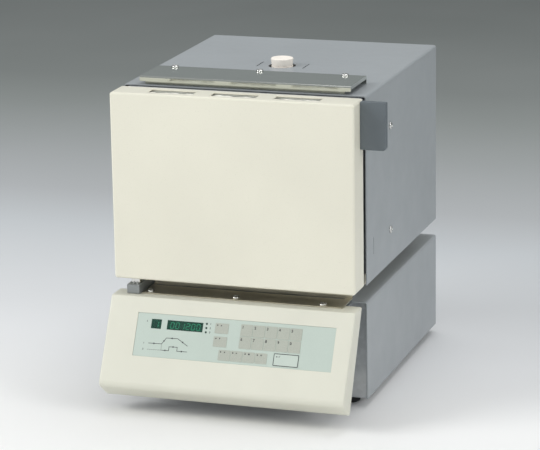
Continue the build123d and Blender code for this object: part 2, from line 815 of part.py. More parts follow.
def upper_hinge_arm():
    """Leaf on the front frame with an arm that reaches into the door."""
    width, height = leaf_size
    leaf = block(pivot_x - width / 2, pivot_x + width / 2, front_y - leaf_thickness, front_y,
                 upper_arm_bottom - (height - upper_arm_thickness) / 2,
                 upper_arm_top + (height - upper_arm_thickness) / 2)
    arm = block(pivot_x - upper_arm_half_width, pivot_x + upper_arm_half_width, pivot_y, front_y - leaf_thickness,
                upper_arm_bottom, upper_arm_top)
    arm += rod_z(upper_arm_half_width, pivot_x, pivot_y, upper_arm_bottom, upper_arm_top)
    return leaf + arm - rod_z(pin_radius + pin_play, pivot_x, pivot_y, upper_arm_bottom - 1, upper_arm_top + 1)


def lower_hinge_arm():
    """Bar under the door's corner, with a pad up to the base pan behind."""
    section = outline([(front_y + arm_rear, arm_bottom), (front_y + arm_rear, pan_bottom),
                       (front_y + arm_rear - pad_length, pan_bottom), (front_y + arm_rear - pad_length, arm_top),
                       (pivot_y - arm_front_reach, arm_top), (pivot_y - arm_front_reach, arm_bottom)],
                      [0.5, 0.5, 0.5, 2, 0.8, 0.8])
    arm = along_x(section, pivot_x - arm_half_width, pivot_x + arm_half_width)
    return arm - rod_z(pin_radius + pin_play, pivot_x, pivot_y, arm_bottom - 1, arm_top + 1)


def hinge_pins():
    upper_reach = knuckle_gap + knuckle_leg - 0.5
    return Part() + [
        rod_z(pin_radius, pivot_x, pivot_y, arm_bottom + 0.5, door_bottom + sheet + knuckle_height - 0.5),
        rod_z(pin_radius, pivot_x, pivot_y, upper_arm_bottom - upper_reach, upper_arm_top + upper_reach)]


def thrust_collar():
    collar = rod_z(collar_radius, pivot_x, pivot_y, arm_top, door_bottom)
    return collar - rod_z(pin_radius + pin_play, pivot_x, pivot_y, arm_top - 1, door_bottom + 1)


def catch_magnet():
    width, depth, height = catch_size
    return rounded_block(catch_x - width / 2, catch_x + width / 2, front_y - depth, front_y,
                         chamber_z - height / 2, chamber_z + height / 2, 0.8, 2.0)


def strike_plate():
    half = catch_size[0] / 2 + strike_border
    tall = catch_size[2] / 2 + strike_border
    return block(catch_x - half, catch_x + half, door_rear, door_rear + strike_thickness,
                 chamber_z - tall, chamber_z + tall)


# Between the two sections
def deck_spacers():
    spacers = []
    for x in (-spacer_x, spacer_x):
        for y in (-spacer_y, spacer_y):
            spacers.append(rod_z(spacer_radius, x, y, case_top, pan_bottom)
                           - rod_z(screw_hole, x, y, case_top - 1, pan_bottom + 1))
    return Part() + spacers


def wire_conduit():
    """Flanged tube that carries the wires from the control section to the furnace section."""
    flange_radius, flange_height = conduit_flange
    tube = rod_z(conduit_radius, 0, conduit_y, case_top - conduit_reach, frame_bottom + conduit_reach)
    tube += rod_z(flange_radius, 0, conduit_y, case_top, case_top + flange_height)
    return tube - rod_z(conduit_radius - conduit_wall, 0, conduit_y, case_top - conduit_reach - 1,
                        frame_bottom + conduit_reach + 1)


shelf_bottom = panel_top + shelf_gap
shelf_top = shelf_bottom + shelf_sheet
shelf_screw_length = shelf_sheet + shelf_gap + panel_wall + 0.5


def heat_shelf():
    """Polished sheet under the door, with an air slot along its rear and an upturned lip."""
    section = bent_strip([(front_y - shelf_reach, shelf_bottom), (front_y, shelf_bottom),
                          (front_y, shelf_top + shelf_lip)], shelf_sheet, shelf_bend)
    shelf = along_x(section, shelf_left, shelf_right)
    left, right, rear_margin, front_margin = shelf_slot
    shelf -= block(left, right, front_y - front_margin, front_y - rear_margin, shelf_bottom - 1, shelf_top + 1)
    for x in shelf_screw_x:
        shelf -= rod_z(screw_hole, x, front_y - shelf_screw_reach, shelf_bottom - 1, shelf_top + 1)
    return shelf


# Control panel
def control_panel():
    """Moulded tray, tilted back, with window openings and a recess for the membrane."""
    corners = [panel_a, panel_b, panel_c, panel_d]
    body = along_x(outline(corners, panel_corner_radii), -panel_half_width, panel_half_width)
    rear_middle = Vector(0, (panel_c[0] + panel_d[0]) / 2, (panel_c[1] + panel_d[1]) / 2)
    ends = body.edges().group_by(Axis.X)[0] + body.edges().group_by(Axis.X)[-1]
    rim = [e for e in ends if (Vector(0, (e @ 0.5).Y, (e @ 0.5).Z) - rear_middle).length > panel_top_depth / 2]
    body = fillet(rim, panel_side_radius)
    inner = inset_polygon(corners, [panel_wall, panel_wall, -2 * panel_wall, panel_wall])
    inner_radii = [max(radius - panel_wall, 0) for radius in panel_corner_radii[:2]] + [0, 0]
    body -= along_x(outline(inner, inner_radii), -panel_half_width + panel_wall, panel_half_width - panel_wall)
    boss_x = panel_half_width - boss_inset
    body += [panel_rod(boss_radius, x, down, panel_wall - 0.5, chassis_depth)
             for x in (-boss_x, boss_x) for down in boss_down]
    x0, x1, down0, down1 = membrane_area
    body -= on_panel(x0, x1, down0, down1, -1, membrane_recess)
    for x0, x1, down0, down1 in (small_window, large_window):
        body -= on_panel(x0, x1, down0, down1, -1, panel_wall + 1)
    body -= [panel_rod(lamp_radius + lamp_play, lamp_x, down, -1, panel_wall + 1) for down in lamp_down]
    for x in shelf_screw_x:
        body -= rod_z(screw_hole, x, front_y - shelf_screw_reach, panel_top - panel_wall - 1, panel_top + 1)
    return body


def key_pads():
    """Raised fields of the keys, as x0, x1, down0, down1."""
    x0, x1, down0, down1, step = pad_keys
    pads = [(x0, x1, down0, down1), (x0, x1, down0 + step, down1 + step)]
    for left, top, pitch, row_pitch, columns, rows in (number_keys, lower_keys):
        for row in range(rows):
            for column in range(columns):
                x = left + column * pitch
                down = top + row * row_pitch
                pads.append((x, x + pitch - key_gap, down, down + row_pitch - key_gap))
    return pads + [enter_key]


def membrane_keypad():
    """Flexible sheet in the panel's recess, with raised key fields and openings for the windows and lamps."""
    x0, x1, down0, down1 = membrane_area
    top = membrane_recess - membrane_thickness
    membrane = on_panel(x0 + window_gap, x1 - window_gap, down0 + window_gap, down1 - window_gap,
                        top, membrane_recess)
    membrane += [on_panel(*pad, top - key_height, top) for pad in key_pads()]
    for window in (small_window, large_window):
        membrane -= on_panel(*window, -1, panel_wall)
    return membrane - [panel_rod(lamp_radius + lamp_play, lamp_x, down, -1, panel_wall) for down in lamp_down]


def display_windows():
    """Dark panes in the two window openings."""
    return Part() + [on_panel(x0 + window_gap, x1 - window_gap, down0 + window_gap, down1 - window_gap,
                              window_sunk, panel_wall) for x0, x1, down0, down1 in (small_window, large_window)]


def display_modules():
    """Digit blocks behind the panes, and three lamps, all on the circuit board."""
    pieces = [on_panel(x0 + digit_border, x1 - digit_border, down0 + digit_border, down1 - digit_border,
                       panel_wall + digit_gap, circuit_board_depth)
              for x0, x1, down0, down1 in (small_window, large_window)]
    pieces += [panel_rod(lamp_radius, lamp_x, down, membrane_recess - membrane_thickness, circuit_board_depth)
               for down in lamp_down]
    return Part() + pieces


def circuit_board_corners():
    x0, x1, down0, down1 = circuit_board
    return [(x, down) for x in (x0 + standoff_inset, x1 - standoff_inset)
            for down in (down0 + standoff_inset, down1 - standoff_inset)]


def display_board():
    board = on_panel(*circuit_board, circuit_board_depth, circuit_board_depth + circuit_board_thickness)
    return board - [panel_rod(lamp_radius, x, down, circuit_board_depth - 1, chassis_depth)
                    for x, down in circuit_board_corners()]


def board_standoffs():
    return Part() + [panel_rod(standoff_radius, x, down, circuit_board_depth + circuit_board_thickness,
                               chassis_depth) for x, down in circuit_board_corners()]


def panel_chassis():
    """Plate that closes the tray behind the boards and stands on its bosses."""
    half = panel_half_width - panel_wall - 2 * sheet_gap
    return on_panel(-half, half, -7.6, panel_face_length, chassis_depth, chassis_depth + sheet)


def panel_housing():
    """Channel between the panel's chassis plate and the front of the control section."""
    back = chassis_depth + sheet
    housing_top = case_top - sheet_gap
    corners = []
    for z in (housing_top, housing_bottom):
        reach = (panel_top - z - back * tilt_sin) / tilt_cos
        corners.append((panel_a[0] - reach * tilt_sin + back * tilt_cos, z))
    corners += [(front_y, housing_bottom), (front_y, housing_top)]
    housing = along_x(outline(corners, [0] * 4), -housing_half_width, housing_half_width)
    hollow = inset_polygon(corners, [-panel_wall, sheet, -panel_wall, sheet])
    housing -= along_x(outline(hollow, [0] * 4), -housing_half_width + sheet, housing_half_width - sheet)
    left, right, rear_margin, front_margin = shelf_slot
    return housing - block(left + flange, right - flange, front_y - front_margin, front_y - rear_margin,
                           housing_top - 2 * sheet, housing_top + 1)


# Control section
def control_case():
    """Sheet folded over the top and both sides of the control section."""
    section = bent_strip([(-half_width, case_bottom), (-half_width, case_top), (half_width, case_top),
                          (half_width, case_bottom)], sheet, bend_radius, Side.RIGHT)
    case = along_y(section, front_y, rear_y)
    return case - rod_z(conduit_radius + sheet_gap, 0, conduit_y, case_top - 2 * sheet, case_top + 1)


def case_base():
    """Floor of the control section with its front wall folded up."""
    section = bent_strip([(front_y, case_top - sheet - sheet_gap), (front_y, case_bottom), (rear_y, case_bottom)],
                         sheet, bend_radius)
    base = along_x(section, -pan_half_width, pan_half_width)
    base = fillet(base.edges().filter_by(Axis.Y).group_by(Axis.Z)[-1], bend_radius)
    width, height = harness_window
    middle = (housing_bottom + case_top) / 2
    base -= block(-width / 2, width / 2, front_y - 1, front_y + 2 * sheet, middle - height / 2, middle + height / 2)
    long, wide = floor_vent
    for x in (-block_side * 0.6, block_side * 0.6):
        for row in range(floor_vent_rows):
            y = front_y / 2 + row * floor_vent_pitch
            base -= block(x - long / 2, x + long / 2, y, y + wide, case_bottom - 1, case_floor + 1)
    return base


def rear_panel():
    """Tray that closes the back of the control section, with openings for inlet, switch and fuse holder."""
    panel = tray(-pan_half_width, pan_half_width, rear_panel_back - flange, rear_panel_back, case_floor,
                 case_top - sheet - sheet_gap, sheet, bend_radius, bend_radius + 0.5, face=-1)
    for x, (wide, tall) in ((inlet_x, inlet_body[:2]), (rocker_x, switch_body[:2])):
        panel -= block(x - wide / 2 - sheet_gap, x + wide / 2 + sheet_gap, rear_panel_back - 2 * sheet,
                       rear_panel_back + 1, rear_parts_z - tall / 2 - sheet_gap, rear_parts_z + tall / 2 + sheet_gap)
    return panel - rod_y(fuse_radius + sheet_gap, fuse_x, rear_parts_z, rear_panel_back - 2 * sheet,
                         rear_panel_back + 1)


def feet():
    puck = Pos(0, 0, foot_height / 2) * Cone(foot_radius - foot_taper, foot_radius, foot_height)
    x, y = half_width - foot_inset_x, rear_y - foot_inset_y
    return Part() + [Pos(a, b, 0) * puck for a in (-x, x) for b in (-y, y)]


def power_inlet():
    """Three-blade mains inlet with its flange on the rear panel."""
    wide, tall, deep = inlet_body
    flange_wide, flange_tall, flange_deep = inlet_flange
    back = rear_panel_back + flange_deep
    body = block(-wide / 2, wide / 2, rear_panel_back - deep, back, -tall / 2, tall / 2)
    body += rounded_block(-flange_wide / 2, flange_wide / 2, rear_panel_back, back, -flange_tall / 2,
                          flange_tall / 2, 0.8, 5.0, face=-1)
    socket_wide, socket_tall, socket_deep = inlet_socket
    body -= block(-socket_wide / 2, socket_wide / 2, back - socket_deep, back + 1, -socket_tall / 2, socket_tall / 2)
    blade_wide, blade_tall, blade_long = blade
    for x, z in ((-blade_pitch, -blade_tall), (0, 0), (blade_pitch, -blade_tall)):
        body += block(x - blade_wide / 2, x + blade_wide / 2, back - socket_deep, back - socket_deep + blade_long,
                      z, z + blade_tall)
    return Pos(inlet_x, 0, rear_parts_z) * body


def fuse_holder():
    cap_radius, cap_length = fuse_cap
    barrel = rod_y(fuse_radius, fuse_x, rear_parts_z, rear_panel_back - fuse_length, rear_panel_back + 1)
    cap = rod_y(cap_radius, fuse_x, rear_parts_z, rear_panel_back, rear_panel_back + cap_length)
    cap = chamfer(cap.edges().group_by(Axis.Y)[-1], 1.0)
    slot = block(fuse_x - cap_radius, fuse_x + cap_radius, rear_panel_back + cap_length - 1.2,
                 rear_panel_back + cap_length + 1, rear_parts_z - 0.8, rear_parts_z + 0.8)
    return barrel + cap - slot


rocker_pivot_y = rear_panel_back - rocker_pivot_depth


def switch_housing():
    """Mains switch body, with a well for the rocker and bearings for its trunnions."""
    wide, tall, deep = switch_body
    flange_wide, flange_tall, flange_deep = switch_flange
    back = rear_panel_back + flange_deep
    body = block(-wide / 2, wide / 2, rear_panel_back - deep, back, -tall / 2, tall / 2)
    body += rounded_block(-flange_wide / 2, flange_wide / 2, rear_panel_back, back, -flange_tall / 2,
                          flange_tall / 2, 0.6, 1.5, face=-1)
    half_wide = rocker_width / 2 + rocker_play
    half_tall = rocker_half_height + 2 * rocker_play
    body -= block(-half_wide, half_wide, rear_panel_back - switch_cavity_depth, back + 1, -half_tall, half_tall)
    radius, length = rocker_trunnion
    reach = rocker_width / 2 + length + rocker_play
    body -= rod_x(radius + pin_play, rocker_pivot_y, 0, -reach, reach)
    return Pos(rocker_x, 0, rear_parts_z) * body


def power_rocker():
    """Rocker at its off position, with a trunnion on each side."""
    half = rocker_half_height
    section = outline([(-4, -5), (2.9, -half), (1.5, 0), (2.9, half), (-4, 5)], [1.5, 0.6, 6, 0.6, 1.5])
    rocker = along_x(section, -rocker_width / 2, rocker_width / 2)
    radius, length = rocker_trunnion
    reach = rocker_width / 2 + length
    rocker += rod_x(radius, 0, 0, -reach, reach)
    return Pos(rocker_x, rocker_pivot_y, rear_parts_z) * Rot(-rocker_tilt, 0, 0) * rocker


def transformer():
    """Laminated core with its winding round the middle leg."""
    wide, deep, tall = transformer_core
    x, y = transformer_place
    core = block(-wide / 2, wide / 2, -deep / 2, deep / 2, 0, tall)
    window_wide = wide / 2 - transformer_leg / 2 - transformer_yoke
    window_x = transformer_leg / 2 + window_wide / 2
    window = block(window_x - window_wide / 2, window_x + window_wide / 2, -deep, deep,
                   transformer_yoke, tall - transformer_yoke)
    core -= mirrored(window)
    inner = transformer_leg / 2 + sheet_gap
    inner_y = deep / 2 + sheet_gap
    outer = inner + window_wide - 2 * sheet_gap
    winding = block(-outer, outer, -inner_y - coil_wrap, inner_y + coil_wrap,
                    transformer_yoke + sheet_gap, tall - transformer_yoke - sheet_gap)
    winding = fillet(winding.edges().filter_by(Axis.Z), 6)
    winding -= block(-inner, inner, -inner_y, inner_y, 0, tall)
    return Pos(x, y, case_floor) * (Part() + [core, winding])


def heat_sink():
    """Finned sink on the floor, fins down, so that the relay seats on its flat back."""
    wide, deep, tall = sink_size
    x, y = sink_place
    pitch = (wide - fin_thickness) / (fin_count - 1)
    sink = block(-wide / 2, wide / 2, -deep / 2, deep / 2, tall - sink_base, tall)
    fins = [block(-wide / 2 + i * pitch, -wide / 2 + i * pitch + fin_thickness, -deep / 2, deep / 2, 0,
                  tall - sink_base / 2) for i in range(fin_count)]
    return Pos(x, y, case_floor) * (sink + fins)


def solid_state_relay():
    wide, deep, tall = relay_size
    x, y = sink_place
    relay = block(-wide / 2, wide / 2, -deep / 2, deep / 2, 0, tall)
    step = block(-wide, wide, deep / 2 - deep / 5, deep, tall * 0.6, tall + 1)
    relay -= [step, mirror(step, about=Plane.XZ)]
    return Pos(x, y, case_floor + sink_size[2]) * relay


nodes = [furnace_cover, base_pan, front_frame, rear_cover, inner_case, case_stands, side_brackets, front_ring,
         insulation_sides, insulation_top, insulation_bottom, insulation_rear, heater_plates_side,
         heater_plate_top, heater_plate_bottom, heating_elements, hearth_plate, thermocouple, terminal_blocks,
         chimney_tube, chimney_plug, hood, hood_posts, pan_head_screws, door_shell, door_pan, door_insulation,
         door_plug, door_seal, handle, upper_hinge_block, lower_hinge_block, upper_hinge_arm, lower_hinge_arm,
         hinge_pins, thrust_collar, catch_magnet, strike_plate, deck_spacers, wire_conduit, heat_shelf,
         control_panel, membrane_keypad, display_windows, display_modules, display_board, board_standoffs,
         panel_chassis, panel_housing, control_case, case_base, rear_panel, feet, power_inlet, fuse_holder,
         switch_housing, power_rocker, transformer, heat_sink, solid_state_relay]

os.makedirs("parts", exist_ok=True)
for make in nodes:
    export_step(make(), f"parts/{make.__name__}.step")
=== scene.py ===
from math import copysign, cos, pi, radians, sin, tau

import bmesh
import bpy
from mathutils import Matrix, Vector, noise


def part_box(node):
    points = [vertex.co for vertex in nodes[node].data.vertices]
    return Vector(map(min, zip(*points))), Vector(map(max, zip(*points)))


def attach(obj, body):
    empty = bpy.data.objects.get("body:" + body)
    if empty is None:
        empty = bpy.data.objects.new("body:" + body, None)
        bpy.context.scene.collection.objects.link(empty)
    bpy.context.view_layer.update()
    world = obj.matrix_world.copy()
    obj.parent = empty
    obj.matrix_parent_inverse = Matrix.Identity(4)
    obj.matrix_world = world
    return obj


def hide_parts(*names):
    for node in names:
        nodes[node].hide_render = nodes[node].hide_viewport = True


# The looks of the muffle furnace. Metres, +Z up, the front faces -Y. Sizes below are given in millimetres.
MM = 0.001

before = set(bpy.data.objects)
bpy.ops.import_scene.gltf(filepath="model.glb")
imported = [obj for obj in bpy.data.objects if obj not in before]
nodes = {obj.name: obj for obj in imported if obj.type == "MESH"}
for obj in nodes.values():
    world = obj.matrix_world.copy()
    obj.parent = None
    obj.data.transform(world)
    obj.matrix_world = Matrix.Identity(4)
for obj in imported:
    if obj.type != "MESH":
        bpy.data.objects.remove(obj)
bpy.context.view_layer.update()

# Camera at the photograph's viewing angle, and the point that the lights are aimed at
CAMERA_PLACE = (0.8820, -2.7057, 0.9139)
CAMERA_AZIMUTH = 18.447
CAMERA_ELEVATION = 14.889
CAMERA_ROLL = -0.916
CAMERA_LENS = 174.17
SENSOR_WIDTH = 36.0
LIGHT_TARGET = (0, 0, 0.2)

# Levels and planes of the CAD that the pieces below are fitted to
HALF_WIDTH = 135.0
FRAME_FRONT = -144.0
REAR_PLATE = 140.0
DOOR_REAR = -155.8
COVER_TOP = 342.0
SIDE_SCREW_Y = -51.5
HOOD_TOP = 351.0
HOOD_SHEET = 1.0
HOOD_END = 118.0
HOOD_Y = (-139.8, -83.2)
HOOD_SCREW_Y = -88.0
HEM_DEPTH = 3.0
SHELF_TOP = 121.7
SHELF_SCREW_Y = -176.0
FOOT_PLACES = [(x, y) for x in (-110, 110) for y in (-124, 124)]

# Tilted face of the control panel: its top edge, how far it leans back, depths below it, and how far
# the key pads stand above the pressed film and the ink above what it is printed on
PANEL_EDGE = (0, -194.3, 120.4)
PANEL_TILT = radians(28.1)
MEMBRANE_DEPTH = 0.4
KEY_DEPTH = 0.15
MODULE_DEPTH = 2.8
PAD_PROUD = 0.04
INK = 0.03

# Chamber and its elements
CHAMBER_HALF_WIDTH = 55.0
CHAMBER_MIDDLE = 239.5
CHAMBER_CEILING = 275.5
COIL_DEPTH = 2.6
COIL_FRONT = -104.8
COIL_REAR = 18.2
COIL_RADIUS = 2.0
COIL_PITCH = 1.9
WIRE_RADIUS = 0.5
LEAD_RADIUS = 1.4
LEAD_END = 77.2
SIDE_ROWS = (-24.0, -8.0, 8.0, 24.0)
TOP_ROWS = (-40.0, -24.0, 24.0, 40.0)

# Fibre blanket in the top of the door, between the hinge block and the right wall
BLANKET_X = (-96.5, 131.0)
BLANKET_Y = (-186.8, -165.8)
BLANKET_Z = (314.5, 339.3)

# Mains rocker at off
ROCKER_PIVOT = (0, 138.4, 57.5)
ROCKER_TILT = radians(-8)
ROCKER_LEAN = radians(7.7)
ROCKER_HALF_HEIGHT = 10.4


# Colours and finishes
def srgb(red, green, blue):
    """Linear colour of an sRGB colour whose channels run from 0 to 255."""
    channels = []
    for value in (red, green, blue):
        value /= 255
        channels.append(value / 12.92 if value <= 0.04045 else ((value + 0.055) / 1.055) ** 2.4)
    return (*channels, 1.0)


class Finish:
    """Node material whose colour, roughness and bump come from layers of noise in the piece's own place."""

    def __init__(self, name, roughness=0.5, metallic=0.0, **settings):
        self.material = bpy.data.materials.new(name)
        self.material.use_nodes = True
        self.tree = self.material.node_tree
        self.shader = self.tree.nodes["Principled BSDF"]
        self.place = self.tree.nodes.new("ShaderNodeTexCoord").outputs["Object"]
        self.shader.inputs["Roughness"].default_value = roughness
        self.shader.inputs["Metallic"].default_value = metallic
        for socket, value in settings.items():
            self.shader.inputs[socket.replace("_", " ")].default_value = value
        self.normal = None

    def grain(self, size, stretch=(1, 1, 1), detail=3.0):
        """Noise from 0 to 1 with features of that size in mm, drawn out along the axes by stretch."""
        mapping = self.tree.nodes.new("ShaderNodeMapping")
        mapping.inputs["Scale"].default_value = [1 / (size * MM * along) for along in stretch]
        texture = self.tree.nodes.new("ShaderNodeTexNoise")
        texture.inputs["Scale"].default_value = 1.0
        texture.inputs["Detail"].default_value = detail
        self.tree.links.new(self.place, mapping.inputs["Vector"])
        self.tree.links.new(mapping.outputs["Vector"], texture.inputs["Vector"])
        return texture.outputs["Fac"]

    def cells(self, size, output="Distance"):
        """Cell pattern with cells of that size in mm."""
        texture = self.tree.nodes.new("ShaderNodeTexVoronoi")
        texture.inputs["Scale"].default_value = 1 / (size * MM)
        self.tree.links.new(self.place, texture.inputs["Vector"])
        return texture.outputs[output]

    def height(self, axis, low, high):
        """0 to 1 as the place along an axis goes from low to high, in mm."""
        split = self.tree.nodes.new("ShaderNodeSeparateXYZ")
        self.tree.links.new(self.place, split.inputs["Vector"])
        return self.between(split.outputs[axis], low * MM, high * MM, 0.0, 1.0)

    def between(self, value, low, high, new_low, new_high):
        """Maps a value's range onto another, clamped."""
        node = self.tree.nodes.new("ShaderNodeMapRange")
        limits = {"From Min": low, "From Max": high, "To Min": new_low, "To Max": new_high}
        for socket, number in limits.items():
            node.inputs[socket].default_value = number
        self.tree.links.new(value, node.inputs["Value"])
        return node.outputs["Result"]

    def ramp(self, value, *stops):
        """Colour from a value by (position, colour) stops."""
        node = self.tree.nodes.new("ShaderNodeValToRGB")
        elements = node.color_ramp.elements
        while len(elements) < len(stops):
            elements.new(1.0)
        for element, (position, colour) in zip(elements, stops):
            element.position = position
            element.color = colour
        self.tree.links.new(value, node.inputs["Fac"])
        return node.outputs["Color"]

    def blend(self, factor, first, second):
        """Mixes two colour sockets or colours by a factor socket."""
        node = self.tree.nodes.new("ShaderNodeMix")
        node.data_type = "RGBA"
        self.tree.links.new(factor, node.inputs[0])
        for socket, colour in ((node.inputs[6], first), (node.inputs[7], second)):
            if isinstance(colour, tuple):
                socket.default_value = colour
            else:
                self.tree.links.new(colour, socket)
        return node.outputs[2]

    def colour(self, socket):
        self.tree.links.new(socket, self.shader.inputs["Base Color"])

    def rough(self, value, low, high):
        self.tree.links.new(self.between(value, 0.3, 0.7, low, high), self.shader.inputs["Roughness"])

    def bump(self, value, depth):
        """Adds relief of that depth in mm."""
        node = self.tree.nodes.new("ShaderNodeBump")
        node.inputs["Strength"].default_value = 1.0
        node.inputs["Distance"].default_value = depth * MM
        self.tree.links.new(value, node.inputs["Height"])
        if self.normal:
            self.tree.links.new(self.normal, node.inputs["Normal"])
        self.normal = node.outputs["Normal"]
        self.tree.links.new(self.normal, self.shader.inputs["Normal"])


def shade(colour, factor):
    """The colour made lighter or darker."""
    return (*(min(channel * factor, 1.0) for channel in colour[:3]), 1.0)


def powder_coat(name, colour, roughness=0.46):
    """Baked paint: faint orange peel, slow drift of tone, fine flecks and rubbed patches."""
    finish = Finish(name, roughness, Coat_Weight=0.22, Coat_Roughness=0.2)
    drift = finish.ramp(finish.grain(160), (0.3, shade(colour, 0.965)), (0.7, shade(colour, 1.03)))
    flecks = finish.between(finish.grain(1.1, detail=1.0), 0.62, 0.78, 0.0, 0.35)
    finish.colour(finish.blend(flecks, drift, shade(colour, 0.86)))
    finish.rough(finish.grain(34), roughness - 0.06, roughness + 0.07)
    finish.bump(finish.grain(1.6, detail=1.5), 0.016)
    return finish.material


def moulded_plastic(name, colour, roughness=0.42, texture=0.012):
    """Injection-moulded plastic with a fine eroded texture."""
    finish = Finish(name, roughness)
    finish.colour(finish.ramp(finish.grain(60), (0.3, shade(colour, 0.97)), (0.7, shade(colour, 1.02))))
    finish.rough(finish.grain(9), roughness - 0.05, roughness + 0.06)
    finish.bump(finish.grain(0.55, detail=2.0), texture)
    return finish.material


def brushed_metal(name, colour, roughness, stretch, line=0.35, relief=0.004):
    """Metal with fine brush lines along one axis and faint cloudy handling marks."""
    finish = Finish(name, roughness, metallic=1.0)
    lines = finish.grain(line, stretch, detail=2.0)
    tone = finish.ramp(lines, (0.3, shade(colour, 0.9)), (0.7, shade(colour, 1.06)))
    cloud = finish.between(finish.grain(42), 0.45, 0.75, 0.0, 0.3)
    finish.colour(finish.blend(cloud, tone, shade(colour, 0.86)))
    finish.rough(lines, roughness * 0.75, roughness * 1.35)
    finish.bump(lines, relief)
    return finish.material


def galvanised_steel(name, colour):
    """Zinc-coated sheet with its spangle."""
    finish = Finish(name, 0.4, metallic=1.0)
    spangle = finish.cells(5.0, output="Color")
    grey = finish.tree.nodes.new("ShaderNodeRGBToBW")
    finish.tree.links.new(spangle, grey.inputs["Color"])
    finish.colour(finish.ramp(grey.outputs["Val"], (0.1, shade(colour, 0.92)), (0.9, shade(colour, 1.03))))
    finish.rough(grey.outputs["Val"], 0.36, 0.44)
    finish.bump(finish.grain(2.4), 0.008)
    return finish.material


def fibre_board(name, colour, stain, stain_amount):
    """Vacuum-formed ceramic fibre: matted surface, small pits and heat stains."""
    finish = Finish(name, 0.95)
    tone = finish.ramp(finish.grain(14, detail=5.0), (0.3, shade(colour, 0.93)), (0.7, shade(colour, 1.03)))
    patches = finish.between(finish.grain(46), 0.45, 0.72, 0.0, stain_amount)
    finish.colour(finish.blend(patches, tone, stain))
    finish.bump(finish.grain(1.0, (3.5, 1, 1), detail=4.0), 0.16)
    finish.bump(finish.cells(3.4), 0.12)
    return finish.material


def cast_ceramic(name, colour, speck, roughness, relief):
    """Fired ceramic with specks and open pores."""
    finish = Finish(name, roughness)
    tone = finish.ramp(finish.grain(11, detail=4.0), (0.3, shade(colour, 0.94)), (0.72, shade(colour, 1.03)))
    specks = finish.between(finish.grain(0.9, detail=2.0), 0.62, 0.72, 0.0, 0.6)
    finish.colour(finish.blend(specks, tone, speck))
    finish.rough(finish.grain(5), roughness - 0.08, roughness + 0.05)
    finish.bump(finish.grain(1.3, detail=4.0), relief)
    return finish.material


def oxidised_wire():
    finish = Finish("oxidised_wire", 0.55, metallic=0.85)
    dark, warm = srgb(74, 68, 66), srgb(124, 108, 98)
    finish.colour(finish.ramp(finish.grain(3.0), (0.35, dark), (0.65, warm)))
    finish.rough(finish.grain(1.2), 0.45, 0.7)
    finish.bump(finish.grain(0.4), 0.01)
    return finish.material


def soft_rubber():
    finish = Finish("soft_rubber", 0.75)
    finish.colour(finish.ramp(finish.grain(7), (0.3, srgb(24, 24, 25)), (0.7, srgb(40, 40, 41))))
    finish.rough(finish.grain(3), 0.62, 0.85)
    finish.bump(finish.grain(0.7), 0.03)
    return finish.material


def printed_film(name, colour, speck, amount):
    """Matt polyester film: fine grain, and a printed screen of specks."""
    finish = Finish(name, 0.42, Coat_Weight=0.15, Coat_Roughness=0.35)
    tone = finish.ramp(finish.grain(40), (0.3, shade(colour, 0.985)), (0.7, shade(colour, 1.015)))
    screen = finish.between(finish.grain(0.45, detail=1.0), 0.5, 0.62, 0.0, amount)
    finish.colour(finish.blend(screen, tone, speck))
    finish.rough(finish.grain(5), 0.36, 0.48)
    finish.bump(finish.grain(0.3, detail=1.0), 0.003)
    return finish.material


def ink(name, colour):
    finish = Finish(name, 0.5)
    finish.colour(finish.ramp(finish.grain(1.5), (0.3, shade(colour, 0.8)), (0.7, shade(colour, 1.2))))
    finish.rough(finish.grain(1.0), 0.4, 0.6)
    return finish.material


def tinted_pane():
    """Smoked green window over the digits."""
    finish = Finish("tinted_pane", 0.06, Transmission_Weight=0.9, IOR=1.49)
    finish.colour(finish.ramp(finish.grain(18), (0.3, srgb(98, 172, 150)), (0.7, srgb(108, 182, 160))))
    finish.rough(finish.grain(6), 0.04, 0.1)
    return finish.material


def glowing(name, colour, strength):
    """Digit segment with a slightly uneven glow; on the unlit segments the faint glow is painted light."""
    finish = Finish(name, 0.5, Emission_Strength=strength)
    tone = finish.ramp(finish.grain(1.2), (0.3, shade(colour, 0.85)), (0.7, shade(colour, 1.1)))
    finish.colour(tone)
    finish.tree.links.new(tone, finish.shader.inputs["Emission Color"])
    return finish.material


CREAM = srgb(228, 225, 209)
GREY = srgb(156, 161, 164)
STEEL = srgb(196, 197, 193)

cover_paint = powder_coat("cover_paint", GREY)
door_paint = powder_coat("door_paint", CREAM, 0.4)
hinge_paint = powder_coat("hinge_paint", srgb(134, 138, 138), 0.44)
pan_paint = powder_coat("pan_paint", srgb(206, 203, 188), 0.44)
handle_grey = moulded_plastic("handle_grey", srgb(94, 102, 107), 0.4, 0.02)
panel_plastic = moulded_plastic("panel_plastic", srgb(220, 219, 205))
black_plastic = moulded_plastic("black_plastic", srgb(34, 34, 36), 0.45, 0.015)
polished_steel = brushed_metal("polished_steel", srgb(219, 222, 216), 0.12, (90, 1, 1))
shelf_steel = brushed_metal("shelf_steel", srgb(216, 210, 192), 0.4, (90, 1, 1))
satin_steel = brushed_metal("satin_steel", STEEL, 0.3, (1, 1, 90), 0.5, 0.01)
bright_steel = brushed_metal("bright_steel", srgb(214, 214, 211), 0.18, (1, 1, 1), 1.5, 0.006)
chassis_steel = galvanised_steel("chassis_steel", srgb(190, 193, 195))
fibre = fibre_board("fibre", srgb(238, 234, 222), srgb(214, 196, 168), 0.35)
chamber_fibre = fibre_board("chamber_fibre", srgb(232, 222, 202), srgb(190, 158, 122), 0.6)
# Painted light: the blanket's fibre is lighter than the door's to offset the shade it sits in behind the
# vents
blanket_fibre_painted_light = fibre_board("blanket_fibre_painted_light", srgb(250, 249, 240), srgb(236, 230, 212), 0.2)
woven_fibre = fibre_board("woven_fibre", srgb(232, 230, 222), srgb(196, 186, 170), 0.4)
hearth_ceramic = cast_ceramic("hearth_ceramic", srgb(214, 198, 172), srgb(150, 122, 94), 0.8, 0.08)
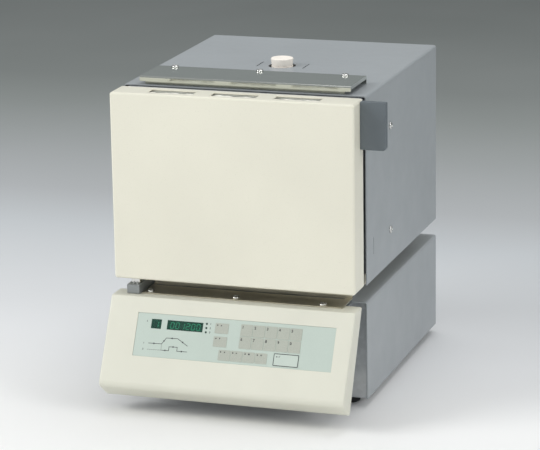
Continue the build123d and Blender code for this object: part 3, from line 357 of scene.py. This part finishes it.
white_ceramic = cast_ceramic("white_ceramic", srgb(248, 241, 231), srgb(206, 182, 166), 0.72, 0.16)
heating_wire = oxidised_wire()
rubber = soft_rubber()
membrane_film = printed_film("membrane_film", srgb(192, 204, 195), srgb(180, 194, 184), 0.4)
key_film = printed_film("key_film", srgb(180, 184, 173), srgb(158, 162, 150), 0.6)
enter_film = printed_film("enter_film", srgb(196, 207, 198), srgb(184, 196, 187), 0.3)
dark_ink = ink("dark_ink", srgb(46, 50, 52))
white_ink = ink("white_ink", srgb(225, 225, 222))
pane = tinted_pane()
lit_segment = glowing("lit_segment", srgb(150, 222, 194), 0.5)
# Painted light: the unlit segments glow faintly in place of the light that would fall on them behind the pane
unlit_segment_painted_glow = glowing("unlit_segment_painted_glow", srgb(38, 82, 70), 0.06)
module_plastic = moulded_plastic("module_plastic", srgb(24, 58, 46), 0.5, 0.01)
circuit_green = moulded_plastic("circuit_green", srgb(36, 92, 60), 0.4, 0.02)
brass = brushed_metal("brass", srgb(196, 166, 96), 0.3, (1, 1, 1), 1.0)
transformer_iron = galvanised_steel("transformer_iron", srgb(98, 98, 100))
sink_aluminium = brushed_metal("sink_aluminium", srgb(196, 198, 200), 0.34, (1, 60, 1))

NODE_FINISHES = {
    cover_paint: ["furnace_cover", "control_case"],
    pan_paint: ["base_pan"],
    chassis_steel: ["front_frame", "rear_cover", "inner_case", "case_stands", "side_brackets", "case_base",
                    "rear_panel", "panel_chassis", "panel_housing", "deck_spacers", "wire_conduit"],
    fibre: ["front_ring", "insulation_sides", "insulation_top", "insulation_bottom", "insulation_rear",
            "door_insulation", "door_plug"],
    chamber_fibre: ["heater_plates_side", "heater_plate_top", "heater_plate_bottom"],
    woven_fibre: ["door_seal"],
    heating_wire: ["heating_elements"],
    hearth_ceramic: ["hearth_plate"],
    white_ceramic: ["thermocouple", "terminal_blocks", "chimney_tube", "chimney_plug"],
    polished_steel: ["hood"],
    shelf_steel: ["heat_shelf"],
    satin_steel: ["door_pan", "strike_plate"],
    bright_steel: ["pan_head_screws", "hood_posts", "hinge_pins", "thrust_collar"],
    door_paint: ["door_shell"],
    handle_grey: ["handle"],
    hinge_paint: ["upper_hinge_block", "lower_hinge_block", "upper_hinge_arm", "lower_hinge_arm"],
    black_plastic: ["catch_magnet", "power_inlet", "fuse_holder", "switch_housing", "solid_state_relay",
                    "power_rocker"],
    panel_plastic: ["control_panel"],
    membrane_film: ["membrane_keypad"],
    pane: ["display_windows"],
    module_plastic: ["display_modules"],
    circuit_green: ["display_board"],
    brass: ["board_standoffs"],
    transformer_iron: ["transformer"],
    sink_aluminium: ["heat_sink"],
    rubber: ["feet"],
}


def paint(mesh, material):
    mesh.materials.clear()
    mesh.materials.append(material)


def dress_nodes():
    """Gives every CAD node its material."""
    for material, names in NODE_FINISHES.items():
        for name in names:
            paint(nodes[name].data, material)


# Mesh helpers
def at(place, x, y, height):
    """Point given in mm in the frame of a place."""
    return place @ (Vector((x, y, height)) * MM)


def add_walls(shape, low, high):
    """Faces between two rings of vertices; a ring of one vertex is a tip."""
    count = max(len(low), len(high))
    for i in range(count):
        j = (i + 1) % count
        corners = (low[i % len(low)], low[j % len(low)], high[j % len(high)], high[i % len(high)])
        shape.faces.new(dict.fromkeys(corners))


def add_lathe(shape, profile, place, segments=48):
    """Turned form round the Z axis of place; profile holds (radius, height) in mm, from below upwards."""
    turns = [tau * i / segments for i in range(segments)]
    rings = []
    for radius, height in profile:
        around = turns if radius else turns[:1]
        rings.append([shape.verts.new(at(place, radius * cos(t), radius * sin(t), height)) for t in around])
    for low, high in zip(rings, rings[1:]):
        add_walls(shape, low, high)


def add_prism(shape, outline, bottom, top, place, shrink=0.0):
    """Flat form with an anticlockwise outline in mm; its top may be drawn in by shrink to slope the sides."""
    middle = sum((Vector(corner) for corner in outline), Vector((0, 0))) / len(outline)
    low = [shape.verts.new(at(place, x, y, bottom)) for x, y in outline]
    high = []
    for corner in outline:
        inward = [copysign(max(abs(part) - shrink, 0), part) for part in Vector(corner) - middle]
        high.append(shape.verts.new(at(place, *(middle + Vector(inward)), top)))
    add_walls(shape, low, high)
    shape.faces.new(high)
    shape.faces.new(low[::-1])


def add_tube(shape, points, radius, sides=6):
    """Round wire along a line of points; points and radius are in mm."""
    points = [Vector(point) * MM for point in points]
    across = Vector((0.3, 0.2, 1.0)).normalized()
    rings = []
    for before, point, after in zip(points[:1] + points, points, points[1:] + points[-1:]):
        along = (after - before).normalized()
        across = (across - along * across.dot(along)).normalized()
        other = along.cross(across)
        rings.append([shape.verts.new(point + (across * cos(tau * i / sides) + other * sin(tau * i / sides))
                                      * radius * MM) for i in range(sides)])
    for low, high in zip(rings, rings[1:]):
        add_walls(shape, low, high)
    shape.faces.new(rings[0][::-1])
    shape.faces.new(rings[-1])


def rounded_rectangle(x0, x1, y0, y1, radius, steps=4):
    """Anticlockwise outline with round corners."""
    points = []
    for corner, (cx, cy) in enumerate(((x1 - radius, y1 - radius), (x0 + radius, y1 - radius),
                                       (x0 + radius, y0 + radius), (x1 - radius, y0 + radius))):
        for step in range(steps + 1):
            turn = pi / 2 * (corner + step / steps)
            points.append((cx + radius * cos(turn), cy + radius * sin(turn)))
    return points


def ribbon(points, width):
    """Outline of a line of that width through the points, with mitred corners."""
    points = [Vector(point) for point in points]
    sides = [(b - a).normalized().orthogonal() for a, b in zip(points, points[1:])]
    left, right = [], []
    for i, point in enumerate(points):
        before, after = sides[max(i - 1, 0)], sides[min(i, len(sides) - 1)]
        mitre = (before + after) / (1 + before.dot(after))
        left.append(point + mitre * width / 2)
        right.append(point - mitre * width / 2)
    return [tuple(point) for point in right + left[::-1]]


def disc(x, y, radius, steps=20):
    return [(x + radius * cos(tau * i / steps), y + radius * sin(tau * i / steps)) for i in range(steps)]


def add_text(shape, text, size, place, x, y, depth):
    """Digits and other plain marks, centred at a place in mm, as thin solid letters."""
    curve = bpy.data.curves.new("mark", "FONT")
    curve.body = text
    curve.size = size * MM
    curve.align_x = "CENTER"
    curve.align_y = "CENTER"
    curve.extrude = depth * MM / 2
    curve.offset = size * MM * 0.03
    curve.resolution_u = 4
    holder = bpy.data.objects.new("mark", curve)
    bpy.context.scene.collection.objects.link(holder)
    letters = bpy.data.meshes.new_from_object(holder.evaluated_get(bpy.context.evaluated_depsgraph_get()))
    letters.transform(place @ Matrix.Translation(Vector((x, y, depth / 2)) * MM))
    shape.from_mesh(letters)
    bpy.data.objects.remove(holder)
    bpy.data.curves.remove(curve)
    bpy.data.meshes.remove(letters)


def as_mesh(shape, name, smooth_angle=None):
    """Finished mesh from a bmesh, smooth where its faces meet at less than that angle."""
    bmesh.ops.recalc_face_normals(shape, faces=shape.faces)
    mesh = bpy.data.meshes.new(name)
    shape.to_mesh(mesh)
    shape.free()
    if smooth_angle:
        mesh.shade_smooth()
        mesh.set_sharp_from_angle(angle=radians(smooth_angle))
    return mesh


def add_piece(name, mesh, material, body, slot, *replaced):
    """Places a mesh as a piece of the object that rides on a body."""
    piece = bpy.data.objects.new(name, mesh)
    bpy.context.scene.collection.objects.link(piece)
    paint(mesh, material)
    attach(piece, body)
    if replaced:
        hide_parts(*replaced)
    return piece


def facing(place, direction):
    """Frame at a place in mm whose Z axis points along a direction."""
    turn = Vector(direction).to_track_quat("Z", "Y").to_matrix().to_4x4()
    return Matrix.Translation(Vector(place) * MM) @ turn


# Fasteners
def cross_recess_screw(head_radius, head_height, shank_length):
    """Pan-head screw with its seat at the origin, its head along +Z and a tapered cross recess."""
    shank_radius = head_radius / 2
    crown = [(head_radius, head_height * 0.28)]
    for step in range(1, 7):
        turn = pi / 2 * step / 6
        crown.append((head_radius * (0.62 + 0.38 * cos(turn)), head_height * (0.28 + 0.6 * sin(turn))))
    profile = [(0, -shank_length), (shank_radius * 0.8, -shank_length), (shank_radius, 0.4 - shank_length),
               (shank_radius, 0), (head_radius - 0.2, 0), (head_radius, 0.2), *crown,
               (head_radius * 0.32, head_height * 0.97), (0, head_height)]
    body = bmesh.new()
    add_lathe(body, profile, Matrix.Identity(4), 40)
    screw = bpy.data.objects.new("screw", as_mesh(body, "screw", 30))
    recess = bmesh.new()
    reach, narrow = head_radius * 0.56, head_radius * 0.13
    depth = head_height * 0.62
    for turn in (0, pi / 2):
        place = Matrix.Rotation(turn, 4, "Z")
        outline = [(-reach, -narrow), (reach, -narrow), (reach, narrow), (-reach, narrow)]
        low = [recess.verts.new(at(place, x * 0.35, y * 0.6, head_height - depth)) for x, y in outline]
        high = [recess.verts.new(at(place, x * 1.15, y * 1.15, head_height + 0.5)) for x, y in outline]
        add_walls(recess, low, high)
        recess.faces.new(high)
        recess.faces.new(low[::-1])
    cutter = bpy.data.objects.new("cutter", as_mesh(recess, "cutter"))
    for helper in (screw, cutter):
        bpy.context.scene.collection.objects.link(helper)
    cut = screw.modifiers.new("recess", "BOOLEAN")
    cut.operation = "DIFFERENCE"
    cut.solver = "EXACT"
    cut.use_self = True
    cut.object = cutter
    depsgraph = bpy.context.evaluated_depsgraph_get()
    mesh = bpy.data.meshes.new_from_object(screw.evaluated_get(depsgraph))
    for helper in (screw, cutter):
        bpy.data.objects.remove(helper)
    return mesh


def screw_set(name, body, slot, screw, places, *replaced):
    """One piece made of copies of a screw at (place, direction, turn) positions."""
    shape = bmesh.new()
    for place, direction, turn in places:
        copy = screw.copy()
        copy.transform(facing(place, direction) @ Matrix.Rotation(radians(turn), 4, "Z"))
        shape.from_mesh(copy)
        bpy.data.meshes.remove(copy)
    mesh = bpy.data.meshes.new(name)
    shape.to_mesh(mesh)
    shape.free()
    mesh.shade_smooth()
    mesh.set_sharp_from_angle(angle=radians(30))
    return add_piece(name, mesh, bright_steel, body, slot, *replaced)


def make_screws():
    """The pan heads of the CAD with a cross recess, and small screws in the frames and plates."""
    large = cross_recess_screw(4.0, 2.4, 4.0)
    small = cross_recess_screw(3.0, 1.6, 2.0)
    up, back, front = (0, 0, 1), (0, 1, 0), (0, -1, 0)
    shown = [((x, HOOD_SCREW_Y, HOOD_TOP), up, turn) for x, turn in ((-97.0, 12), (0.0, 50), (96.0, 33))]
    shown += [((x, SHELF_SCREW_Y, SHELF_TOP), up, turn) for x, turn in ((-98.6, 70), (-1.4, 25), (95.9, 5))]
    for z, turn in ((174.5, 18), (290.6, 61)):
        shown.append(((HALF_WIDTH, SIDE_SCREW_Y, z), (1, 0, 0), turn))
        shown.append(((-HALF_WIDTH, SIDE_SCREW_Y, z), (-1, 0, 0), turn + 20))
    screw_set("cross_recess_screws", "root", "bright_steel", large, shown, "pan_head_screws")
    rear = [((x, REAR_PLATE, z), back, 40 * x + 13 * z) for x in (-122, 122) for z in (152, 239.5, 327)]
    rear += [((x, REAR_PLATE, z), back, 31 * x + 17 * z) for x in (-122, 122) for z in (24, 104)]
    screw_set("rear_screws", "root", "bright_steel", small, rear)
    frame_places = [((x, FRAME_FRONT, z), front, 23 * x + 11 * z) for x in (-88, 0, 88) for z in (152, 327)]
    screw_set("front_frame_screws", "root", "bright_steel", small, frame_places)
    pan_places = [((x, DOOR_REAR, z), back, 29 * x + 7 * z) for x in (-88, 0, 88) for z in (168, 311)]
    screw_set("door_pan_screws", "door", "bright_steel", small, pan_places)


# Heated chamber
def element_path(rows, to_world):
    """One long coiled wire: its helical runs side by side, with a straight link between neighbours."""
    steps = 12
    length = COIL_REAR - COIL_FRONT
    count = int(length / COIL_PITCH) * steps
    path = []
    for number, row in enumerate(rows):
        for i in range(count + 1):
            along = length * i / count
            y = COIL_REAR - along if number % 2 == 0 else COIL_FRONT + along
            turn = tau * i / steps
            path.append(to_world(row + COIL_RADIUS * cos(turn), y, COIL_DEPTH + COIL_RADIUS * sin(turn)))
    return path


def on_side(sign):
    """Places ceiling coordinates onto the left or right wall."""
    return lambda x, y, depth: (sign * (CHAMBER_HALF_WIDTH + depth), y, CHAMBER_MIDDLE - x)


def on_ceiling(x, y, depth):
    return x, y, CHAMBER_CEILING + depth


def make_elements():
    """Two side elements and one in the ceiling, with straight leads to the rear."""
    shape = bmesh.new()
    for rows, to_world in ((SIDE_ROWS, on_side(1)), (SIDE_ROWS, on_side(-1)), (TOP_ROWS, on_ceiling)):
        add_tube(shape, element_path(rows, to_world), WIRE_RADIUS)
        for row in (rows[0], rows[-1]):
            lead = [to_world(row, y, COIL_DEPTH) for y in (COIL_REAR - 1, LEAD_END)]
            add_tube(shape, lead, LEAD_RADIUS, 12)
    add_piece("element_coils", as_mesh(shape, "element_coils", 60), heating_wire, "root", "heating_wire",
              "heating_elements")


# Hood
def make_hems():
    """Narrow edges folded down along both ends of the hood."""
    outer, inner = HOOD_END, HOOD_END - HOOD_SHEET
    top = HOOD_TOP - HOOD_SHEET
    low = top - HEM_DEPTH
    section = [(inner, top), (inner, low + 0.3), (inner + 0.25, low), (outer - 0.25, low), (outer, low + 0.3),
               (outer, top)]
    shape = bmesh.new()
    for side in (-1, 1):
        near, far = ([shape.verts.new(Vector((side * x, y, z)) * MM) for x, z in section] for y in HOOD_Y)
        add_walls(shape, near, far)
        shape.faces.new(near)
        shape.faces.new(far[::-1])
    add_piece("hood_hems", as_mesh(shape, "hood_hems", 30), polished_steel, "root", "polished_steel")


# Chimney stopper
def make_stopper():
    """Ceramic stopper with a worn, slightly chipped rim."""
    low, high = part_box("chimney_plug")
    axis = Vector(((low.x + high.x) / 2, (low.y + high.y) / 2, 0))
    seat, top = COVER_TOP, high.z / MM
    base_radius, top_radius, rim = 11.5, 12.45, 1.1
    wear, chip_depth, rim_wear = 0.12, 0.5, 0.18
    profile = [(0, seat - 20), (6.2, seat - 20), (7.1, seat - 19), (7.15, seat), (base_radius, seat + 0.02)]
    wall_rings = 14
    for i in range(1, wall_rings + 1):
        share = i / wall_rings
        profile.append((base_radius + (top_radius - base_radius) * share, seat + (top - rim - seat) * share))
    for i in range(1, 5):
        turn = pi / 2 * i / 4
        profile.append((top_radius - rim * (1 - cos(turn)), top - rim * (1 - sin(turn))))
    for radius in (10.2, 8.8, 7.2, 5.4, 3.6, 1.8):
        profile.append((radius, top))
    profile.append((0, top))
    shape = bmesh.new()
    add_lathe(shape, profile, Matrix.Translation(axis), 96)
    for vert in shape.verts:
        if vert.co.z < (seat + 0.3) * MM:
            continue
        away = Vector((vert.co.x - axis.x, vert.co.y - axis.y, 0))
        rough = 0.5 + 0.5 * noise.noise(vert.co * 420)
        chip = max(0.0, noise.noise(vert.co * 260 + Vector((3, 1, 7))) - 0.28) * 1.6
        at_rim = max(0.0, 1 - (top * MM - vert.co.z) / (3 * MM))
        if away.length > 2 * MM:
            vert.co -= away.normalized() * (wear * rough + chip_depth * chip * at_rim) * MM
        vert.co.z -= rim_wear * rough * at_rim * MM
    add_piece("ceramic_stopper", as_mesh(shape, "ceramic_stopper", 50), white_ceramic, "chimney_plug",
              "white_ceramic", "chimney_plug")


# Control panel
def panel_place(depth):
    """Frame at a depth in mm below the panel's face: X to the right, Y up the face, Z outwards."""
    right = Vector((1, 0, 0))
    up = Vector((0, sin(PANEL_TILT), cos(PANEL_TILT)))
    out = right.cross(up)
    turn = Matrix((right, up, out)).transposed().to_4x4()
    return Matrix.Translation((Vector(PANEL_EDGE) - out * depth) * MM) @ turn


def key_block(left, top, row_pitch, columns, rows):
    """Fields of a block of keys as x0, x1, down0, down1, row by row."""
    pitch, gap = 13.7, 1.0
    return [(left + column * pitch, left + (column + 1) * pitch - gap,
             top + row * row_pitch, top + (row + 1) * row_pitch - gap)
            for row in range(rows) for column in range(columns)]


SIDE_KEYS = [(-14.5, 0.0, 22.2, 32.8), (-14.5, 0.0, 36.6, 47.2)]
NUMBER_KEYS = key_block(14.3, 21.3, 13.4, 5, 2)
LOWER_KEYS = key_block(-7.0, 50.6, 12.0, 4, 1)
ENTER_KEY = (54.4, 81.8, 49.4, 62.4)


def add_pad(shape, field, grow):
    """Raised pad over a key's field, with sloped edges."""
    x0, x1, down0, down1 = field
    outline = rounded_rectangle(x0 - grow, x1 + grow, -down1 - grow, -down0 + grow, 0.9)
    add_prism(shape, outline, 0.0, MEMBRANE_DEPTH - KEY_DEPTH + PAD_PROUD, panel_place(MEMBRANE_DEPTH), 0.1)


def make_keys():
    """Pads of the grey keys and of the enter key."""
    keys = bmesh.new()
    for field in SIDE_KEYS + NUMBER_KEYS + LOWER_KEYS:
        add_pad(keys, field, 0.3)
    add_piece("key_fields", as_mesh(keys, "key_fields", 20), key_film, "root", "membrane")
    enter = bmesh.new()
    add_pad(enter, ENTER_KEY, 0.1)
    add_piece("enter_field", as_mesh(enter, "enter_field", 20), enter_film, "root", "membrane")


class PanelPrint:
    """Thin ink shapes; places are in mm to the right of the middle and down from the panel's top edge."""

    def __init__(self):
        self.shape = bmesh.new()
        self.film = panel_place(MEMBRANE_DEPTH)
        self.keys = panel_place(KEY_DEPTH - PAD_PROUD)

    def figure(self, corners, place):
        add_prism(self.shape, [(x, -down) for x, down in corners], 0.0, INK, place)

    def stroke(self, corners, width, place):
        add_prism(self.shape, ribbon([(x, -down) for x, down in corners], width), 0.0, INK, place)

    def dot(self, x, down, radius, place):
        add_prism(self.shape, disc(x, -down, radius), 0.0, INK + 0.01, place)

    def dashes(self, start, end, count, width):
        a, b = Vector(start), Vector(end)
        for i in range(count):
            self.stroke([a.lerp(b, (i + 0.15) / count), a.lerp(b, (i + 0.75) / count)], width, self.film)

    def number(self, value, size, x, down, place):
        add_text(self.shape, str(value), size, place, x, -down, INK)


def print_diagram(ink_layer):
    """Ramp with its hold, and the switching below it."""
    film, line, spot = ink_layer.film, 0.6, 0.85
    ramp = [(-87.3, 49.6), (-72.2, 49.4), (-67.6, 42.6), (-54.8, 42.4), (-42.7, 49.6)]
    pulse = [(-71.6, 56.2), (-63.3, 56.1), (-63.3, 51.8), (-54.0, 51.7), (-54.0, 55.9), (-42.5, 55.8)]
    ink_layer.stroke(ramp, line, film)
    for x, down in ((-80.9, 49.5), (-69.9, 46.0), (-61.2, 42.5), (-48.8, 45.9)):
        ink_layer.dot(x, down, spot, film)
    ink_layer.dashes((-87.8, 56.4), (-71.6, 56.2), 7, line * 0.8)
    ink_layer.stroke(pulse, line, film)
    for x, down in ((-67.4, 56.1), (-58.8, 51.7), (-48.8, 55.9)):
        ink_layer.dot(x, down, spot, film)
    ink_layer.dashes((-72.2, 49.9), (-72.0, 55.9), 4, line * 0.7)


def print_numbers(ink_layer):
    """Numbers of the two curves, the three lamps and the small window, and those on the keys."""
    for value, size, x, down in ((1, 2.6, -92.5, 49.7), (2, 2.6, -92.5, 56.4), (1, 2.8, -20.2, 23.7),
                                 (2, 2.8, -20.2, 28.3), (3, 2.8, -20.2, 32.9), (1, 2.8, -92.0, 26.0)):
        ink_layer.number(value, size, x, down, ink_layer.film)
    for i, (x0, _, down0, _) in enumerate(NUMBER_KEYS):
        ink_layer.number((i + 1) % 10, 4.0, x0 + 1.9, down0 + 3.0, ink_layer.keys)


# Each mark is made of figures whose corners lie between -1 and 1, to the right and down
KEY_MARKS = {
    "up": [[(-1, 1), (1, 1), (0, -1)]],
    "down": [[(-1, -1), (0, 1), (1, -1)]],
    "left": [[(1, -1), (-1, 0), (1, 1)]],
    "right": [[(-1, 1), (1, 0), (-1, -1)]],
    "square": [[(-1, 1), (1, 1), (1, -1), (-1, -1)]],
    "bars": [[(-1, 1), (-0.3, 1), (-0.3, -1), (-1, -1)], [(0.3, 1), (1, 1), (1, -1), (0.3, -1)]],
}


def print_marks(ink_layer):
    """A dot and a mark on each of the side keys and lower keys."""
    half = 0.85
    side_marks, lower_marks = ("up", "down"), ("left", "right", "square", "bars")
    for fields, names, inset in ((SIDE_KEYS, side_marks, (2.3, 2.0)), (LOWER_KEYS, lower_marks, (2.1, 2.1))):
        for (x0, _, down0, _), name in zip(fields, names):
            x, down = x0 + inset[0], down0 + inset[1]
            ink_layer.dot(x, down, 0.75, ink_layer.keys)
            for corners in KEY_MARKS[name]:
                placed = [(x + 4.2 + right * half, down + below * half) for right, below in corners]
                ink_layer.figure(placed, ink_layer.keys)


def print_enter(ink_layer):
    """Frame and bent arrow on the enter key."""
    x0, x1, down0, down1 = ENTER_KEY
    inset = 0.2
    left, right, above, below = x0 + inset, x1 - inset, down0 + inset, down1 - inset
    border = [(left, above), (right, above), (right, below), (left, below)]
    for side in zip(border, border[1:] + border[:1]):
        ink_layer.stroke(side, 0.7, ink_layer.keys)
    shaft = [(x0 + 6.6, down0 + 1.9), (x0 + 6.6, down0 + 3.4), (x0 + 2.9, down0 + 3.4)]
    tip = [(x0 + 3.4, down0 + 2.6), (x0 + 2.0, down0 + 3.4), (x0 + 3.4, down0 + 4.2)]
    ink_layer.stroke(shaft, 0.4, ink_layer.keys)
    ink_layer.figure(tip, ink_layer.keys)


def make_panel_print():
    """Dark print on the film and on the keys."""
    ink_layer = PanelPrint()
    print_diagram(ink_layer)
    print_numbers(ink_layer)
    print_marks(ink_layer)
    print_enter(ink_layer)
    add_piece("panel_print", as_mesh(ink_layer.shape, "panel_print"), dark_ink, "root", "membrane")


SEGMENTS = {"0": "abcdef", "1": "bc", "2": "abged", "3": "abgcd", "4": "fgbc", "5": "afgcd", "6": "afgedc",
            "7": "abc", "8": "abcdefg", "9": "abcdfg"}
SEGMENT_THICK = 0.85
SEGMENT_GAP = 0.08
DIGIT_LEAN = 0.1


def segment_outline(letter, width, height):
    """Six-sided bar of a digit whose lower left corner is at the origin; the digit leans to the right."""
    half, gap = SEGMENT_THICK / 2, SEGMENT_GAP
    middle = height / 2
    level = {"a": height - half, "g": middle, "d": half}
    if letter in level:
        y = level[letter]
        x0, x1 = half + gap, width - half - gap
        points = [(x0, y), (x0 + half, y - half), (x1 - half, y - half), (x1, y), (x1 - half, y + half),
                  (x0 + half, y + half)]
    else:
        x = half if letter in "ef" else width - half
        y0, y1 = (half + gap, middle - gap) if letter in "ec" else (middle + gap, height - half - gap)
        points = [(x, y0), (x + half, y0 + half), (x + half, y1 - half), (x, y1), (x - half, y1 - half),
                  (x - half, y0 + half)]
    return [(x + y * DIGIT_LEAN, y) for x, y in points]


def make_digits():
    """Seven-segment digits behind the panes: one in the small window, six in the large one."""
    place = panel_place(MODULE_DEPTH)
    lit, dim = bmesh.new(), bmesh.new()
    groups = [("1", -83.7, 24.6, 4.2, 7.2, 5.0), ("001200", -66.2, 24.6, 4.4, 7.2, 5.9)]
    for text, left, top, width, height, pitch in groups:
        for number, digit in enumerate(text):
            for letter in "abcdefg":
                outline = [(left + number * pitch + x, -top - height + y)
                           for x, y in segment_outline(letter, width, height)]
                shape = lit if letter in SEGMENTS[digit] else dim
                add_prism(shape, outline, 0.0, 0.12, place)
    add_piece("lit_digits", as_mesh(lit, "lit_digits"), lit_segment, "root", "pane")
    add_piece("unlit_segments_painted_glow", as_mesh(dim, "unlit_segments_painted_glow"), unlit_segment_painted_glow, "root", "pane")


# Door filling
def make_blanket():
    """Tufted fibre blanket in the top of the door, in sight through the vents; its fibre is painted lighter
    than the door's to offset the shade in the vents.
    """
    columns, rows = 90, 10
    tuft_height = 0.7
    (x0, x1), (y0, y1), (bottom, top) = BLANKET_X, BLANKET_Y, BLANKET_Z
    shape = bmesh.new()
    grid = []
    for i in range(columns + 1):
        x = x0 + (x1 - x0) * i / columns
        line = []
        for j in range(rows + 1):
            y = y0 + (y1 - y0) * j / rows
            tuft = noise.noise(Vector((x, y, 0)) * 0.16) + 0.5 * noise.noise(Vector((x, y, 4)) * 0.5)
            line.append(shape.verts.new(Vector((x, y, top + tuft_height * tuft)) * MM))
        grid.append(line)
    for left, right in zip(grid, grid[1:]):
        for j in range(rows):
            shape.faces.new((left[j], right[j], right[j + 1], left[j + 1]))
    # Edge of the grid, once round
    rim = [line[0] for line in grid] + grid[-1][1:] + [line[-1] for line in grid[-2::-1]] + grid[0][-2:0:-1]
    low = [shape.verts.new((vert.co.x, vert.co.y, bottom * MM)) for vert in rim]
    add_walls(shape, low, rim)
    shape.faces.new(low)
    add_piece("door_blanket", as_mesh(shape, "door_blanket", 50), blanket_fibre_painted_light, "door", "fibre")


# Feet and rear fittings
def make_feet():
    """Rubber feet with a groove round them and a screw well below."""
    profile = [(0, 2.4), (3.0, 2.4), (3.2, 0.3), (3.6, 0.0), (9.7, 0.0), (10.4, 0.6), (10.8, 3.6),
               (10.5, 4.0), (10.5, 4.7), (11.0, 5.1), (11.7, 8.7), (11.5, 9.2), (10.9, 9.5), (0, 9.5)]
    shape = bmesh.new()
    for x, y in FOOT_PLACES:
        add_lathe(shape, profile, Matrix.Translation(Vector((x, y, 0)) * MM), 64)
    add_piece("rubber_feet", as_mesh(shape, "rubber_feet", 40), rubber, "root", "foot_rubber", "feet")


def rocker_face(side):
    """Frame on the upper (1) or lower (-1) half of the rocker's face, with Z outwards."""
    out = Vector((0, cos(ROCKER_LEAN), -side * sin(ROCKER_LEAN)))
    up = Vector((0, side * sin(ROCKER_LEAN), cos(ROCKER_LEAN)))
    right = up.cross(out)
    turn = Matrix((right, up, out)).transposed().to_4x4()
    share = 0.52
    face_middle, face_rise = 1.5, 1.4
    surface = Vector((0, face_middle + face_rise * share, side * ROCKER_HALF_HEIGHT * share))
    return (Matrix.Translation(Vector(ROCKER_PIVOT) * MM) @ Matrix.Rotation(ROCKER_TILT, 4, "X")
            @ Matrix.Translation(surface * MM) @ turn)


def make_rocker_marks():
    """Line and circle on the two halves of the mains rocker."""
    thick = 0.08
    inner, outer, steps = 1.5, 2.1, 28
    shape = bmesh.new()
    add_prism(shape, rounded_rectangle(-0.4, 0.4, -2.1, 2.1, 0.3), 0.0, thick, rocker_face(1))
    for i in range(steps):
        a, b = tau * i / steps, tau * (i + 1) / steps
        piece = [(inner * cos(a), inner * sin(a)), (outer * cos(a), outer * sin(a)),
                 (outer * cos(b), outer * sin(b)), (inner * cos(b), inner * sin(b))]
        add_prism(shape, piece, 0.0, thick, rocker_face(-1))
    bmesh.ops.remove_doubles(shape, verts=shape.verts, dist=0.001 * MM)
    add_piece("rocker_marks", as_mesh(shape, "rocker_marks"), white_ink, "power_rocker", "black_plastic")


# Stage, light and camera
def make_floor():
    """Plain pale floor whose tone falls off behind the object: painted shade in place of the light dying
    away.
    """
    finish = Finish("studio_floor_painted_falloff", 0.9)
    far = finish.height("Y", -500, 2600)
    # Painted shade: these stops darken the floor from front to back, as the light would
    stops = ((0.1, (240, 240, 239)), (0.17, (232, 233, 234)), (0.32, (194, 198, 201)),
             (0.38, (175, 178, 180)), (0.56, (141, 146, 144)), (0.63, (129, 134, 132)),
             (0.85, (120, 125, 123)), (1.0, (112, 117, 115)))
    tone = finish.ramp(far, *((share, srgb(*colour)) for share, colour in stops))
    clouds = finish.between(finish.grain(900), 0.4, 0.6, 0.0, 0.05)
    finish.colour(finish.blend(clouds, tone, srgb(205, 207, 208)))
    shape = bmesh.new()
    reach = 9000
    add_prism(shape, [(-reach, -reach), (reach, -reach), (reach, reach), (-reach, reach)], -20, 0,
              Matrix.Identity(4))
    floor = bpy.data.objects.new("studio_floor_painted_falloff", as_mesh(shape, "studio_floor_painted_falloff"))
    floor.data.materials.append(finish.material)
    bpy.context.scene.collection.objects.link(floor)


def make_light(name, place, size, power):
    """Area light that points at the object; place and size in metres, power in watts."""
    light = bpy.data.lights.new(name, "AREA")
    light.shape = "RECTANGLE"
    light.size, light.size_y = size
    light.energy = power
    lamp = bpy.data.objects.new(name, light)
    lamp.location = place
    lamp.rotation_euler = (Vector(LIGHT_TARGET) - Vector(place)).to_track_quat("-Z", "Y").to_euler()
    bpy.context.scene.collection.objects.link(lamp)


def make_world():
    """Even studio surround, darker towards the horizon."""
    world = bpy.data.worlds.new("studio")
    world.use_nodes = True
    tree = world.node_tree
    background = tree.nodes["Background"]
    background.inputs["Strength"].default_value = 0.5
    direction = tree.nodes.new("ShaderNodeTexCoord")
    split = tree.nodes.new("ShaderNodeSeparateXYZ")
    ramp = tree.nodes.new("ShaderNodeValToRGB")
    elements = ramp.color_ramp.elements
    elements[0].position, elements[0].color = 0.0, srgb(176, 186, 186)
    elements[1].position, elements[1].color = 0.7, srgb(236, 238, 240)
    tree.links.new(direction.outputs["Generated"], split.inputs["Vector"])
    tree.links.new(split.outputs["Z"], ramp.inputs["Fac"])
    tree.links.new(ramp.outputs["Color"], background.inputs["Color"])
    bpy.context.scene.world = world


def make_camera():
    azimuth, elevation, roll = (radians(a) for a in (CAMERA_AZIMUTH, CAMERA_ELEVATION, CAMERA_ROLL))
    ahead = Vector((-sin(azimuth) * cos(elevation), cos(azimuth) * cos(elevation), -sin(elevation)))
    level = Vector((cos(azimuth), sin(azimuth), 0))
    upright = level.cross(ahead)
    right = level * cos(roll) + upright * sin(roll)
    up = upright * cos(roll) - level * sin(roll)
    data = bpy.data.cameras.new("camera")
    data.lens = CAMERA_LENS
    data.sensor_width = SENSOR_WIDTH
    data.clip_end = 60.0
    camera = bpy.data.objects.new("camera", data)
    camera.matrix_world = Matrix.Translation(CAMERA_PLACE) @ Matrix((right, up, -ahead)).transposed().to_4x4()
    bpy.context.scene.collection.objects.link(camera)
    bpy.context.scene.camera = camera


make_camera()
dress_nodes()
make_screws()
make_elements()
make_hems()
make_stopper()
make_keys()
make_panel_print()
make_digits()
make_blanket()
make_feet()
make_rocker_marks()
make_floor()
make_world()
make_light("key_light", (-2.6, -1.6, 2.0), (1.8, 1.8), 66)
make_light("front_light", (0.7, -3.1, 0.8), (2.2, 1.2), 16)
make_light("top_light", (0.3, 0.6, 2.6), (1.8, 1.4), 22)
make_light("side_light", (2.6, -0.6, 1.6), (1.4, 1.4), 24)
bpy.context.scene.view_settings.view_transform = "Standard"
